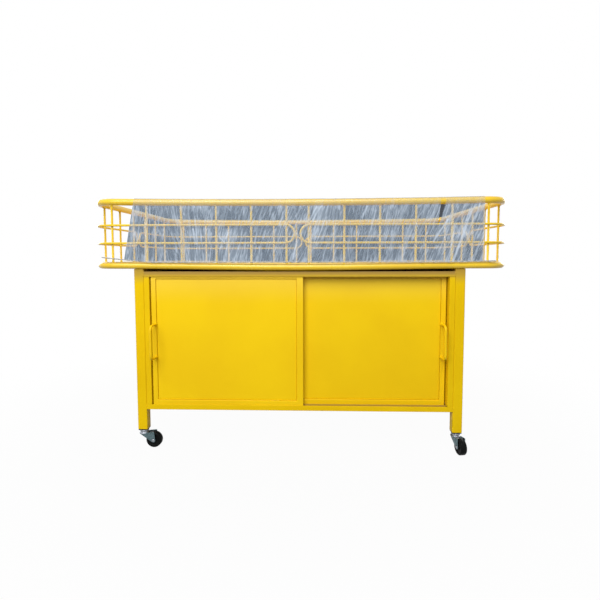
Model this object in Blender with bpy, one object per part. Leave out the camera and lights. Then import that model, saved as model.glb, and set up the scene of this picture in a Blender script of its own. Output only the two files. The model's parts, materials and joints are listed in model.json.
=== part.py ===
"""Sale display bin: an open wire basket on a steel cabinet with two sliding doors and four swivel casters.

Units are metres and +Z is up. The front faces -Y. The origin is on the floor, under the middle of the
bin's outer box. Sizes below are given about the basket's own middle plane, and the empty bin_middle
carries every piece from there to the origin.
"""

import math

import bmesh
import bpy
from mathutils import Matrix, Vector

# Clearances
SEAT_GAP = 0.0003
RUNNING_GAP = 0.0004

# Basket
BASKET_WIDTH = 1.200
BASKET_DEPTH = 0.700
BASKET_HEIGHT = 0.200
RIM_TUBE = 0.019
RIM_CORNER = 0.082
WIRE = 0.006
WIRE_CORNER = 0.065
WELD_SINK = 0.0012
FRONT_PITCH = 0.100
FRONT_MIDDLE_GAP = 0.063
SIDE_PITCH = 0.105
CORNER_MARGIN = 0.055
LOOP_SPACING = 0.051
LOOP_END_GAP = 0.017
BASKET_FLOOR_SHEET = 0.0012
BEARER_WIDTH = 0.020

# Stretch film over the basket's front
FILM_SHEET = 0.0006
# How far the film's edges and the ends of its hem stay short of the basket's ends
FILM_LEFT_TOP_INSET = 0.136
FILM_LEFT_BOTTOM_INSET = 0.105
FILM_RIGHT_INSET = 0.083
HEM_ROLL = 0.0032
HEM_LEFT_INSET = 0.050
HEM_RIGHT_INSET = 0.044
HEM_SLOPE_INSET = 0.180
HEM_RISE_LEFT = 0.013
HEM_RISE_RIGHT = 0.003

# Cabinet
SIDE_OVERHANG = 0.1285
FRONT_OVERHANG = 0.0075
LEG_TUBE = 0.028
LEG_CORNER = 0.003
TUBE_WALL = 0.0015
LEG_BELOW_TRACK = 0.060
RAIL_HEIGHT = 0.015
RAIL_CORNER = 0.002
RIM_TO_TRACK = 0.006
OPENING_HEIGHT = 0.374
TRACK_WALL = 0.002
STILE_WIDTH = 0.0155
PANEL_SHEET = 0.001
PANEL_INSET = 0.002

# Sliding doors
DOOR_DEPTH = 0.012
DOOR_CLEARANCE = 0.001
DOOR_EDGE_GAP = 0.0035
DOOR_OVERLAP = 0.031
DOOR_ENGAGE_TOP = 0.008
DOOR_ENGAGE_BOTTOM = 0.006
DOOR_BORDER = 0.014
DOOR_WIDE_BORDER = 0.019
DOOR_PANEL_SHEET = 0.0012
DOOR_PANEL_RECESS = 0.003
HANDLE_ROD = 0.007
HANDLE_LENGTH = 0.096
HANDLE_REACH = 0.040
HANDLE_BEND = 0.013
HANDLE_EDGE = 0.011
GLIDE_LENGTH = 0.030
GLIDE_INSET = 0.030
GLIDE_SIDE_GAP = 0.001

# Casters
CASTER_HEIGHT = 0.057
WHEEL_DIAMETER = 0.046
WHEEL_WIDTH = 0.018
WHEEL_ROUND = 0.004
WHEEL_DISH = 0.002
WHEEL_HUB = 0.018
CASTER_TRAIL = 0.030
FORK_PLATE = 0.002
FORK_CLEARANCE = 0.0012
FORK_EYE = 0.0065
FORK_NOSE = 0.003
CROWN_DIAMETER = 0.029
CROWN_HEIGHT = 0.0075
COLLAR_DIAMETER = 0.026
COLLAR_HEIGHT = 0.0075
STEM_DIAMETER = 0.010
STEM_LENGTH = 0.024
INSERT_LENGTH = 0.028
KINGPIN_DIAMETER = 0.008
KINGPIN_HEAD = 0.012
KINGPIN_HEAD_HEIGHT = 0.002
AXLE_DIAMETER = 0.006
AXLE_HEAD = 0.010
AXLE_HEAD_HEIGHT = 0.002
# How each caster has come to rest, in degrees from +X towards +Y
CASTER_TURNS = {"front_left": -2.0, "front_right": -80.0, "back_left": 12.0, "back_right": -160.0}

# Smoothness
ARC_STEPS = 6
ROUND_SIDES = 14
WHEEL_SIDES = 24
WIRE_SIDES = 6
WIRE_RESOLUTION = 1
RIM_RESOLUTION = 3
HANDLE_RESOLUTION = 2
TUBE_CORNER_STEPS = 3
TREAD_STEPS = 2
SHARP_ANGLE = 35.0
WELD_DISTANCE = 1e-6

# Derived levels, from the floor up
LEG_BOTTOM = CASTER_HEIGHT
LOWER_TRACK_BOTTOM = LEG_BOTTOM + LEG_BELOW_TRACK
LOWER_TRACK_TOP = LOWER_TRACK_BOTTOM + RAIL_HEIGHT
UPPER_TRACK_BOTTOM = LOWER_TRACK_TOP + OPENING_HEIGHT
UPPER_TRACK_TOP = UPPER_TRACK_BOTTOM + RAIL_HEIGHT
LEG_TOP = UPPER_TRACK_TOP + RIM_TO_TRACK
RIM_RADIUS = RIM_TUBE / 2
LOWER_RIM = LEG_TOP + SEAT_GAP + RIM_RADIUS
UPPER_RIM = LOWER_RIM + BASKET_HEIGHT - RIM_TUBE

# Derived plan lines, from the basket's middle outwards
RIM_HALF_WIDTH = BASKET_WIDTH / 2 - RIM_RADIUS
RIM_HALF_DEPTH = BASKET_DEPTH / 2 - RIM_RADIUS
LEG_FACE_X = BASKET_WIDTH / 2 - SIDE_OVERHANG
LEG_FACE_Y = BASKET_DEPTH / 2 - FRONT_OVERHANG
LEG_INNER_X = LEG_FACE_X - LEG_TUBE
LEG_INNER_Y = LEG_FACE_Y - LEG_TUBE
LEG_MIDDLE_X = LEG_FACE_X - LEG_TUBE / 2
LEG_MIDDLE_Y = LEG_FACE_Y - LEG_TUBE / 2
GROOVE = DOOR_DEPTH + 2 * DOOR_CLEARANCE
TRACK_DEPTH = 3 * TRACK_WALL + 2 * GROOVE
FRONT_DOOR_FACE = -LEG_FACE_Y + TRACK_WALL + DOOR_CLEARANCE
REAR_DOOR_FACE = FRONT_DOOR_FACE + GROOVE + TRACK_WALL
DOOR_EDGE = LEG_INNER_X - STILE_WIDTH - DOOR_EDGE_GAP
DOOR_BOTTOM = LOWER_TRACK_TOP - DOOR_ENGAGE_BOTTOM
DOOR_TOP = UPPER_TRACK_BOTTOM + DOOR_ENGAGE_TOP

# The handle on the front door reaches furthest forward and the rim furthest back
FRONT_REACH = -FRONT_DOOR_FACE + HANDLE_REACH + HANDLE_ROD / 2
MIDDLE_Y = (FRONT_REACH - BASKET_DEPTH / 2) / 2

# Turns for flat outlines: extruded along X, along Y or straight up, or standing with their face to the front
ALONG_X = Matrix(((0, 0, 1), (1, 0, 0), (0, 1, 0)))
ALONG_Y = Matrix(((0, 1, 0), (0, 0, 1), (1, 0, 0)))
ALONG_Z = Matrix.Identity(3)
UPRIGHT = Matrix(((1, 0, 0), (0, 0, -1), (0, 1, 0)))
HERE = (0.0, 0.0, 0.0)

# Each finish is a colour, a roughness, a metallic value and an alpha
FINISHES = {
    "yellow_paint": ((0.84, 0.53, 0.02), 0.35, 0.0, 1.0),
    "clear_film": ((0.62, 0.67, 0.74), 0.25, 0.0, 0.6),
    "nylon": ((0.75, 0.74, 0.70), 0.5, 0.0, 1.0),
    "black_plastic": ((0.03, 0.03, 0.03), 0.5, 0.0, 1.0),
    "bright_zinc": ((0.70, 0.72, 0.75), 0.25, 1.0, 1.0),
    "dull_zinc": ((0.55, 0.60, 0.63), 0.3, 1.0, 1.0),
    "rubber": ((0.012, 0.013, 0.013), 0.45, 0.0, 1.0),
}


def clear_scene():
    for old in list(bpy.data.objects):
        bpy.data.objects.remove(old, do_unlink=True)


def new_collection(name):
    collection = bpy.data.collections.new(name)
    bpy.context.scene.collection.children.link(collection)
    return collection


def new_empty(name, location, parent=None, turn=0.0):
    empty = bpy.data.objects.new(name, None)
    PARTS.objects.link(empty)
    empty.parent = parent
    empty.location = location
    empty.rotation_euler = (0.0, 0.0, math.radians(turn))
    return empty


def new_material(name, finish):
    colour, roughness, metallic, alpha = FINISHES[finish]
    material = bpy.data.materials.new(name + "_" + finish)
    material.use_nodes = True
    shader = material.node_tree.nodes["Principled BSDF"]
    shader.inputs["Base Color"].default_value = (*colour, 1.0)
    shader.inputs["Roughness"].default_value = roughness
    shader.inputs["Metallic"].default_value = metallic
    shader.inputs["Alpha"].default_value = alpha
    return material


def place(name, data, parent, turn=ALONG_Z, location=HERE, finish="yellow_paint"):
    """One named piece of the bin from its mesh or curve, with a material of its own."""
    piece = bpy.data.objects.new(name, data)
    PARTS.objects.link(piece)
    piece.parent = parent
    piece.matrix_local = Matrix.Translation(Vector(location)) @ turn.to_4x4()
    data.materials.clear()
    data.materials.append(new_material(name, finish))
    return piece


def scratch(data, turn=ALONG_Z, location=HERE):
    """A helper shape that another piece is cut or joined with."""
    helper = bpy.data.objects.new("helper", data)
    CUTTERS.objects.link(helper)
    helper.matrix_world = Matrix.Translation(Vector(location)) @ turn.to_4x4()
    helper.hide_render = True
    helper.display_type = "WIRE"
    return helper


def mesh_of(helper):
    """The helper's finished shape as one welded mesh in world space. The helper is removed."""
    bpy.context.view_layer.update()
    graph = bpy.context.evaluated_depsgraph_get()
    mesh = bpy.data.meshes.new_from_object(helper.evaluated_get(graph))
    mesh.transform(helper.matrix_world)
    shape = bmesh.new()
    shape.from_mesh(mesh)
    bmesh.ops.remove_doubles(shape, verts=shape.verts, dist=WELD_DISTANCE)
    shape.to_mesh(mesh)
    shape.free()
    bpy.data.objects.remove(helper, do_unlink=True)
    return mesh


def combine(base, other, operation):
    """The mesh of one helper joined with, or cut by, another."""
    step = base.modifiers.new("combine", "BOOLEAN")
    step.operation = operation
    step.solver = "EXACT"
    step.object = other
    result = mesh_of(base)
    bpy.data.objects.remove(other, do_unlink=True)
    return scratch(result)


def box_mesh(low, high):
    shape = bmesh.new()
    low = Vector(low)
    size = Vector(high) - low
    bmesh.ops.create_cube(shape, size=1.0)
    bmesh.ops.scale(shape, verts=shape.verts, vec=size)
    bmesh.ops.translate(shape, verts=shape.verts, vec=low + size / 2)
    mesh = bpy.data.meshes.new("box")
    shape.to_mesh(mesh)
    shape.free()
    return mesh


def rod_mesh(diameter, start, end, sides=ROUND_SIDES):
    """A straight round rod between two heights on the Z axis."""
    shape = bmesh.new()
    middle = Matrix.Translation((0.0, 0.0, (start + end) / 2))
    bmesh.ops.create_cone(shape, cap_ends=True, segments=sides, radius1=diameter / 2, radius2=diameter / 2,
                          depth=end - start, matrix=middle)
    mesh = bpy.data.meshes.new("rod")
    shape.to_mesh(mesh)
    shape.free()
    return mesh


def add_spline(curve, points, closed):
    spline = curve.splines.new("POLY")
    spline.points.add(len(points) - 1)
    for spot, point in zip(spline.points, points):
        spot.co = (*Vector(point).to_3d(), 1.0)
    spline.use_cyclic_u = closed


def outline_curve(outlines, thickness):
    """A flat filled outline, with holes, extruded evenly to both sides of its plane."""
    curve = bpy.data.curves.new("outline", "CURVE")
    curve.dimensions = "2D"
    curve.fill_mode = "BOTH"
    curve.extrude = thickness / 2
    for points in outlines:
        add_spline(curve, points, True)
    return curve


def tube_curve(points, diameter, closed, resolution):
    """A round tube or wire along a path."""
    curve = bpy.data.curves.new("tube", "CURVE")
    curve.dimensions = "3D"
    curve.bevel_depth = diameter / 2
    curve.bevel_resolution = resolution
    curve.use_fill_caps = not closed
    add_spline(curve, points, closed)
    return curve


def arc(centre, radius, start, end, steps=ARC_STEPS):
    """Points on an arc in a plane, with angles in degrees."""
    turns = [math.radians(start + (end - start) * step / steps) for step in range(steps + 1)]
    return [(centre[0] + radius * math.cos(turn), centre[1] + radius * math.sin(turn)) for turn in turns]


def rounded_rectangle(half_width, half_depth, radius, steps=ARC_STEPS):
    x = half_width - radius
    y = half_depth - radius
    return (arc((x, y), radius, 0, 90, steps) + arc((-x, y), radius, 90, 180, steps)
            + arc((-x, -y), radius, 180, 270, steps) + arc((x, -y), radius, 270, 360, steps))


def rectangle(low, high):
    return [(low[0], low[1]), (high[0], low[1]), (high[0], high[1]), (low[0], high[1])]


def hollow_section(width, height, corner):
    """A rectangular tube's outline and its bore."""
    bore_x = width / 2 - TUBE_WALL
    bore_y = height / 2 - TUBE_WALL
    outer = rounded_rectangle(width / 2, height / 2, corner, TUBE_CORNER_STEPS)
    return [outer, rectangle((-bore_x, -bore_y), (bore_x, bore_y))]


def round_inset(from_corner, radius):
    """How far a rounded corner draws a line in, at a distance from the corner along the side."""
    run = max(radius - from_corner, 0.0)
    return radius - math.sqrt(radius ** 2 - run ** 2)


def round_shaded(piece):
    piece.data.shade_smooth()
    piece.data.set_sharp_from_angle(angle=math.radians(SHARP_ANGLE))


def make_rims():
    for name, level in (("lower_rim", LOWER_RIM), ("upper_rim", UPPER_RIM)):
        path = rounded_rectangle(RIM_HALF_WIDTH, RIM_HALF_DEPTH, RIM_CORNER)
        rim = tube_curve(path, RIM_TUBE, True, RIM_RESOLUTION)
        place(name, rim, MIDDLE, location=(0.0, 0.0, level))


def upright_spots(side_x, side_y):
    """Where one corner's uprights stand: along its half of the front or back, then of the side."""
    spots = []
    x = FRONT_MIDDLE_GAP / 2
    while x < RIM_HALF_WIDTH - CORNER_MARGIN:
        spots.append((x, RIM_HALF_DEPTH - round_inset(RIM_HALF_WIDTH - x, WIRE_CORNER)))
        x += FRONT_PITCH
    y = SIDE_PITCH / 2
    while y < RIM_HALF_DEPTH - CORNER_MARGIN:
        spots.append((RIM_HALF_WIDTH - round_inset(RIM_HALF_DEPTH - y, WIRE_CORNER), y))
        y += SIDE_PITCH
    return [(side_x * x, side_y * y) for x, y in spots]


def loop_path(side_x, side_y):
    """One endless wire round a corner, with a round end at the middle of each of its two walls."""
    outside = WIRE - WELD_SINK
    half_width = RIM_HALF_WIDTH + outside
    half_depth = RIM_HALF_DEPTH + outside
    radius = WIRE_CORNER + outside
    end_radius = LOOP_SPACING / 2
    straight_end = LOOP_END_GAP / 2 + end_radius
    level = (LOWER_RIM + UPPER_RIM) / 2
    corner = arc((half_width - radius, half_depth - radius), radius, 90, 0)
    upper = [(x, y, level + end_radius) for x, y in corner]
    lower = [(x, y, level - end_radius) for x, y in reversed(corner)]
    side_end = [(half_width, y, z) for y, z in arc((straight_end, level), end_radius, 90, 270)]
    front_end = [(x, half_depth, z) for x, z in arc((straight_end, level), end_radius, 270, 90)]
    return [(side_x * x, side_y * y, z) for x, y, z in upper + side_end + lower + front_end]


def make_wire_corners():
    """The four welded wire panels, one round each corner of the basket."""
    bottom = LOWER_RIM + RIM_RADIUS + SEAT_GAP
    top = UPPER_RIM - RIM_RADIUS - SEAT_GAP
    for name, (side_x, side_y) in CORNERS.items():
        loop = tube_curve(loop_path(side_x, side_y), WIRE, True, WIRE_RESOLUTION)
        wires = scratch(mesh_of(scratch(loop)))
        for x, y in upright_spots(side_x, side_y):
            upright = scratch(rod_mesh(WIRE, bottom, top, WIRE_SIDES), location=(x, y, 0.0))
            wires = combine(wires, upright, "UNION")
        place(name + "_wires", mesh_of(wires), MIDDLE)


def make_basket_floor():
    """A sheet inside the lower rim, on three bearers that run from its front to its back."""
    inset = RIM_RADIUS + SEAT_GAP
    outline = rounded_rectangle(RIM_HALF_WIDTH - inset, RIM_HALF_DEPTH - inset, RIM_CORNER - inset)
    sheet = outline_curve([outline], BASKET_FLOOR_SHEET)
    place("basket_floor", sheet, MIDDLE, location=(0.0, 0.0, LOWER_RIM))
    reach = RIM_HALF_DEPTH - inset
    half = BEARER_WIDTH / 2
    bottom = LEG_TOP + SEAT_GAP
    top = LOWER_RIM - BASKET_FLOOR_SHEET / 2 - SEAT_GAP
    for name, x in (("left_bearer", -LEG_MIDDLE_X), ("middle_bearer", 0.0), ("right_bearer", LEG_MIDDLE_X)):
        place(name, box_mesh((x - half, -reach, bottom), (x + half, reach, top)), MIDDLE)


def make_film():
    """Thin film over the front of the upper rim, its lower edge bunched into a roll on the lower rim."""
    inside = RIM_RADIUS + SEAT_GAP
    outside = inside + FILM_SHEET
    hem_out = inside + HEM_ROLL / 2
    hem_level = LOWER_RIM + RIM_RADIUS
    front = -RIM_HALF_DEPTH
    over_rim = arc((front, UPPER_RIM), outside, 90, 180) + [(front - outside, hem_level)]
    under = [(front - inside, hem_level)] + arc((front, UPPER_RIM), inside, 180, 90)
    end = BASKET_WIDTH / 2
    left_top = FILM_LEFT_TOP_INSET - end
    left_bottom = FILM_LEFT_BOTTOM_INSET - end
    right = end - FILM_RIGHT_INSET
    sheet = outline_curve([over_rim + under], right - left_bottom)
    film = scratch(mesh_of(scratch(sheet, ALONG_X, ((left_bottom + right) / 2, 0.0, 0.0))))
    # The left edge leans outwards towards the hem: a wedge is cut off that reaches past the sheet all round
    beyond = left_bottom - HEM_ROLL
    above = UPPER_RIM + outside + HEM_ROLL
    wedge = [(beyond, hem_level), (left_bottom, hem_level), (left_top, above), (beyond, above)]
    wedge_block = scratch(outline_curve([wedge], 2 * RIM_TUBE), UPRIGHT, (0.0, front - outside, 0.0))
    film = combine(film, scratch(mesh_of(wedge_block)), "DIFFERENCE")
    hem_points = []
    for side, gap, rise in ((-1, HEM_LEFT_INSET, HEM_RISE_LEFT), (1, HEM_RIGHT_INSET, HEM_RISE_RIGHT)):
        for step in range(ARC_STEPS + 1):
            share = step / ARC_STEPS if side > 0 else 1 - step / ARC_STEPS
            from_end = HEM_SLOPE_INSET + share * (gap - HEM_SLOPE_INSET)
            inset = round_inset(from_end + hem_out - RIM_RADIUS, WIRE_CORNER + hem_out)
            hem_points.append((side * (end - from_end), front - hem_out + inset, hem_level + share * rise))
    hem = scratch(mesh_of(scratch(tube_curve(hem_points, HEM_ROLL, False, WIRE_RESOLUTION))))
    film = combine(film, hem, "UNION")
    place("stretch_film", mesh_of(film), MIDDLE, finish="clear_film")


def make_legs():
    for name, (side_x, side_y) in CORNERS.items():
        section = hollow_section(LEG_TUBE, LEG_TUBE, LEG_CORNER)
        spot = (side_x * LEG_MIDDLE_X, side_y * LEG_MIDDLE_Y, (LEG_TOP + LEG_BOTTOM) / 2)
        place(name + "_leg", outline_curve(section, LEG_TOP - LEG_BOTTOM), MIDDLE, location=spot)


def make_rails():
    """Tube rails between the legs at both sides and the back. The door tracks are the front rails."""
    levels = (("lower", LOWER_TRACK_BOTTOM + RAIL_HEIGHT / 2), ("upper", LEG_TOP - RAIL_HEIGHT / 2))
    for level_name, level in levels:
        for side_name, side in (("left", -1), ("right", 1)):
            name = side_name + "_" + level_name + "_rail"
            section = hollow_section(RAIL_HEIGHT, LEG_TUBE, RAIL_CORNER)
            length = 2 * (LEG_INNER_Y - SEAT_GAP)
            place(name, outline_curve(section, length), MIDDLE, ALONG_Y, (side * LEG_MIDDLE_X, 0.0, level))
        section = hollow_section(LEG_TUBE, RAIL_HEIGHT, RAIL_CORNER)
        length = 2 * (LEG_INNER_X - SEAT_GAP)
        place("back_" + level_name + "_rail", outline_curve(section, length), MIDDLE, ALONG_X,
              (0.0, LEG_MIDDLE_Y, level))


def track_profile(web, lip_end):
    """A channel with two grooves, from its web to the free ends of its three lips."""
    inner = web + math.copysign(TRACK_WALL, lip_end - web)
    first = -LEG_FACE_Y
    points = [(first, web)]
    for lip in range(3):
        start = first + lip * (TRACK_WALL + GROOVE)
        points += [(start, inner)] if lip else []
        points += [(start, lip_end), (start + TRACK_WALL, lip_end)]
        points += [(start + TRACK_WALL, inner)] if lip < 2 else []
    return points + [(first + TRACK_DEPTH, web)]


def make_tracks():
    length = 2 * (LEG_INNER_X - SEAT_GAP)
    for name, web, lip_end in (("upper_track", UPPER_TRACK_TOP, UPPER_TRACK_BOTTOM),
                               ("lower_track", LOWER_TRACK_BOTTOM, LOWER_TRACK_TOP)):
        place(name, outline_curve([track_profile(web, lip_end)], length), MIDDLE, ALONG_X)


def make_stiles():
    """Angle strips on the front legs that frame the door opening between the two tracks."""
    outer = LEG_INNER_X - SEAT_GAP
    inner = LEG_INNER_X - STILE_WIDTH
    front = -LEG_FACE_Y
    back = front + TRACK_DEPTH
    wall_x = outer - TRACK_WALL
    wall_y = front + TRACK_WALL
    angle = [(outer, front), (outer, back), (wall_x, back)]
    angle += [(wall_x, wall_y), (inner, wall_y), (inner, front)]
    bottom = LOWER_TRACK_TOP + SEAT_GAP
    top = UPPER_TRACK_BOTTOM - SEAT_GAP
    for name, side in (("left_stile", -1), ("right_stile", 1)):
        outline = [(side * x, y) for x, y in angle]
        place(name, outline_curve([outline], top - bottom), MIDDLE, location=(0.0, 0.0, (top + bottom) / 2))


def make_panels():
    """Sheet walls between the legs at both sides and the back, and the sheet floor inside them."""
    bottom = LOWER_TRACK_TOP + SEAT_GAP
    top = LEG_TOP - RAIL_HEIGHT - SEAT_GAP
    reach_y = LEG_INNER_Y - SEAT_GAP
    reach_x = LEG_INNER_X - SEAT_GAP
    outer_x = LEG_FACE_X - PANEL_INSET
    outer_y = LEG_FACE_Y - PANEL_INSET
    for name, side in (("left_side_panel", -1), ("right_side_panel", 1)):
        near, far = sorted((side * outer_x, side * (outer_x - PANEL_SHEET)))
        place(name, box_mesh((near, -reach_y, bottom), (far, reach_y, top)), MIDDLE)
    place("back_panel", box_mesh((-reach_x, outer_y - PANEL_SHEET, bottom), (reach_x, outer_y, top)), MIDDLE)
    # The cabinet floor lies on the side and back rails, cut out round the back legs
    front = -LEG_FACE_Y + TRACK_DEPTH + SEAT_GAP
    side = outer_x - PANEL_SHEET - SEAT_GAP
    back = outer_y - PANEL_SHEET - SEAT_GAP
    outline = [(-side, front), (side, front), (side, reach_y), (reach_x, reach_y), (reach_x, back),
               (-reach_x, back), (-reach_x, reach_y), (-side, reach_y)]
    sheet = outline_curve([outline], PANEL_SHEET)
    place("cabinet_floor", sheet, MIDDLE, location=(0.0, 0.0, bottom + PANEL_SHEET / 2))


def handle_path(face):
    """A bent rod: out from the door, down along the grip and back to the door."""
    half = HANDLE_LENGTH / 2
    bar = face - HANDLE_REACH
    upper = arc((bar + HANDLE_BEND, half - HANDLE_BEND), HANDLE_BEND, 90, 180)
    lower = arc((bar + HANDLE_BEND, HANDLE_BEND - half), HANDLE_BEND, 180, 270)
    foot = face - SEAT_GAP
    return [(0.0, foot, half)] + [(0.0, y, z) for y, z in upper + lower] + [(0.0, foot, -half)]


def make_door(name, side, face):
    """One sliding door, with its outer edge on the given side. The doors overlap in the middle."""
    width = DOOR_EDGE + DOOR_OVERLAP / 2
    height = DOOR_TOP - DOOR_BOTTOM
    middle_x = side * (DOOR_EDGE - width / 2)
    middle_z = (DOOR_TOP + DOOR_BOTTOM) / 2
    slide = new_empty(name + "_slide_axis", (middle_x, 0.0, middle_z), MIDDLE)
    half_w = width / 2
    half_h = height / 2
    # The border is wide at the bottom and at the middle of the bin, and narrow at the top and the outer edge
    low_x = DOOR_WIDE_BORDER - half_w
    low_z = DOOR_WIDE_BORDER - half_h
    high_x = half_w - DOOR_BORDER
    high_z = half_h - DOOR_BORDER
    outer = rectangle((-half_w, -half_h), (half_w, half_h))
    inner = [(side * x, z) for x, z in rectangle((low_x, low_z), (high_x, high_z))]
    border = outline_curve([outer, inner], DOOR_DEPTH)
    place(name + "_frame", border, slide, UPRIGHT, (0.0, face + DOOR_DEPTH / 2, 0.0))
    left, right = sorted((side * (low_x + SEAT_GAP), side * (high_x - SEAT_GAP)))
    front = face + DOOR_PANEL_RECESS
    back = front + DOOR_PANEL_SHEET
    sheet = box_mesh((left, front, low_z + SEAT_GAP), (right, back, high_z - SEAT_GAP))
    place(name + "_panel", sheet, slide)
    handle = tube_curve(handle_path(face), HANDLE_ROD, False, HANDLE_RESOLUTION)
    place(name + "_handle", handle, slide, location=(side * (half_w - HANDLE_EDGE), 0.0, 0.0))
    front = face + GLIDE_SIDE_GAP
    back = face + DOOR_DEPTH - GLIDE_SIDE_GAP
    bottom = LOWER_TRACK_BOTTOM + TRACK_WALL + SEAT_GAP - middle_z
    top = -half_h - SEAT_GAP
    for end_name, end in (("outer", side), ("inner", -side)):
        start = end * (half_w - GLIDE_INSET)
        left, right = sorted((start, start - end * GLIDE_LENGTH))
        glide = box_mesh((left, front, bottom), (right, back, top))
        place(name + "_" + end_name + "_glide", glide, slide, finish="nylon")


def stem_mesh():
    """Threaded stem, collar, kingpin and its riveted head, all turned about the swivel axis."""
    collar_top = LEG_BOTTOM - SEAT_GAP
    collar_bottom = collar_top - COLLAR_HEIGHT
    crown_bottom = collar_bottom - SEAT_GAP - CROWN_HEIGHT
    head_top = crown_bottom - SEAT_GAP
    stem = scratch(rod_mesh(STEM_DIAMETER, collar_top - SEAT_GAP, collar_top + STEM_LENGTH))
    collar = scratch(rod_mesh(COLLAR_DIAMETER, collar_bottom, collar_top))
    pin = scratch(rod_mesh(KINGPIN_DIAMETER, head_top - SEAT_GAP, collar_bottom + SEAT_GAP))
    head = scratch(rod_mesh(KINGPIN_HEAD, head_top - KINGPIN_HEAD_HEIGHT, head_top))
    for joined in (collar, pin, head):
        stem = combine(stem, joined, "UNION")
    return mesh_of(stem)


def insert_mesh():
    """The plug in a leg's open end that the stem screws into."""
    half = LEG_TUBE / 2 - TUBE_WALL - SEAT_GAP
    plug = scratch(box_mesh((-half, -half, LEG_BOTTOM), (half, half, LEG_BOTTOM + INSERT_LENGTH)))
    bore = STEM_DIAMETER + 2 * SEAT_GAP
    thread = scratch(rod_mesh(bore, LEG_BOTTOM - SEAT_GAP, LEG_BOTTOM + INSERT_LENGTH + SEAT_GAP))
    return mesh_of(combine(plug, thread, "DIFFERENCE"))


def fork_mesh():
    """Crown, two cheeks and the bridge over the wheel, in the caster's own frame with its trail along +X."""
    collar_bottom = LEG_BOTTOM - SEAT_GAP - COLLAR_HEIGHT
    crown_top = collar_bottom - SEAT_GAP
    crown_bottom = crown_top - CROWN_HEIGHT
    inner = WHEEL_WIDTH / 2 + FORK_CLEARANCE
    outer = inner + FORK_PLATE
    axle = WHEEL_DIAMETER / 2
    crown_reach = math.sqrt((CROWN_DIAMETER / 2) ** 2 - outer ** 2)
    eye = arc((CASTER_TRAIL, axle), FORK_EYE, 240, 360)
    back = [(-crown_reach, crown_top), (-crown_reach, crown_bottom)]
    cheek = back + eye + [(CASTER_TRAIL + FORK_NOSE, crown_top)]
    fork = scratch(rod_mesh(CROWN_DIAMETER, crown_bottom, crown_top))
    for side in (-1, 1):
        plate = scratch(outline_curve([cheek], FORK_PLATE), UPRIGHT, (0.0, side * (inner + outer) / 2, 0.0))
        fork = combine(fork, scratch(mesh_of(plate)), "UNION")
    king_bore = KINGPIN_DIAMETER + 2 * RUNNING_GAP
    king_hole = scratch(rod_mesh(king_bore, crown_bottom - SEAT_GAP, crown_top + SEAT_GAP))
    fork = combine(fork, king_hole, "DIFFERENCE")
    axle_bore = rod_mesh(AXLE_DIAMETER + 2 * SEAT_GAP, -outer - SEAT_GAP, outer + SEAT_GAP)
    axle_hole = scratch(axle_bore, UPRIGHT, (CASTER_TRAIL, 0.0, axle))
    return mesh_of(combine(fork, axle_hole, "DIFFERENCE"))


def axle_mesh():
    """A plain pin with a head at each end, along Z and centred."""
    outer = WHEEL_WIDTH / 2 + FORK_CLEARANCE + FORK_PLATE + SEAT_GAP
    axle = scratch(rod_mesh(AXLE_DIAMETER, -outer - SEAT_GAP, outer + SEAT_GAP))
    for side in (-1, 1):
        ends = sorted((side * outer, side * (outer + AXLE_HEAD_HEIGHT)))
        axle = combine(axle, scratch(rod_mesh(AXLE_HEAD, *ends)), "UNION")
    return mesh_of(axle)


def wheel_mesh():
    """A turned wheel about Z: a rounded tread, dished sides, a hub and a bore for the axle."""
    half = WHEEL_WIDTH / 2
    radius = WHEEL_DIAMETER / 2
    hub = WHEEL_HUB / 2
    bore = AXLE_DIAMETER / 2 + RUNNING_GAP
    dish = half - WHEEL_DISH
    web_edge = radius - 2 * WHEEL_ROUND
    upper = [(bore, half), (hub, half), (hub, dish), (web_edge, dish), (web_edge, half)]
    upper += arc((radius - WHEEL_ROUND, half - WHEEL_ROUND), WHEEL_ROUND, 90, 0, TREAD_STEPS)
    profile = upper + [(r, -z) for r, z in reversed(upper)]
    shape = bmesh.new()
    spots = [shape.verts.new((r, 0.0, z)) for r, z in profile]
    edges = [shape.edges.new((first, second)) for first, second in zip(spots, spots[1:] + spots[:1])]
    bmesh.ops.spin(shape, geom=spots + edges, cent=(0, 0, 0), axis=(0, 0, 1), angle=2 * math.pi,
                   steps=WHEEL_SIDES, use_merge=True)
    bmesh.ops.remove_doubles(shape, verts=shape.verts, dist=WELD_DISTANCE)
    bmesh.ops.recalc_face_normals(shape, faces=shape.faces)
    mesh = bpy.data.meshes.new("wheel")
    shape.to_mesh(mesh)
    shape.free()
    return mesh


def make_casters():
    """Four like casters. Each swivels on its stem's axis and rolls on its axle."""
    axle_spot = (CASTER_TRAIL, 0.0, WHEEL_DIAMETER / 2)
    fixed = (("insert", insert_mesh(), "black_plastic"), ("stem", stem_mesh(), "bright_zinc"))
    turned = (("fork", fork_mesh(), ALONG_Z, HERE, "dull_zinc"),
              ("axle", axle_mesh(), UPRIGHT, axle_spot, "bright_zinc"),
              ("wheel", wheel_mesh(), UPRIGHT, axle_spot, "rubber"))
    for name, (side_x, side_y) in CORNERS.items():
        under_leg = (side_x * LEG_MIDDLE_X, side_y * LEG_MIDDLE_Y, 0.0)
        stand = new_empty(name + "_caster_place", under_leg, MIDDLE)
        swivel = new_empty(name + "_swivel_axis", HERE, stand, CASTER_TURNS[name])
        for kind, mesh, finish in fixed:
            round_shaded(place(name + "_" + kind, mesh.copy(), stand, finish=finish))
        for kind, mesh, turn, spot, finish in turned:
            round_shaded(place(name + "_" + kind, mesh.copy(), swivel, turn, spot, finish))


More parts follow.
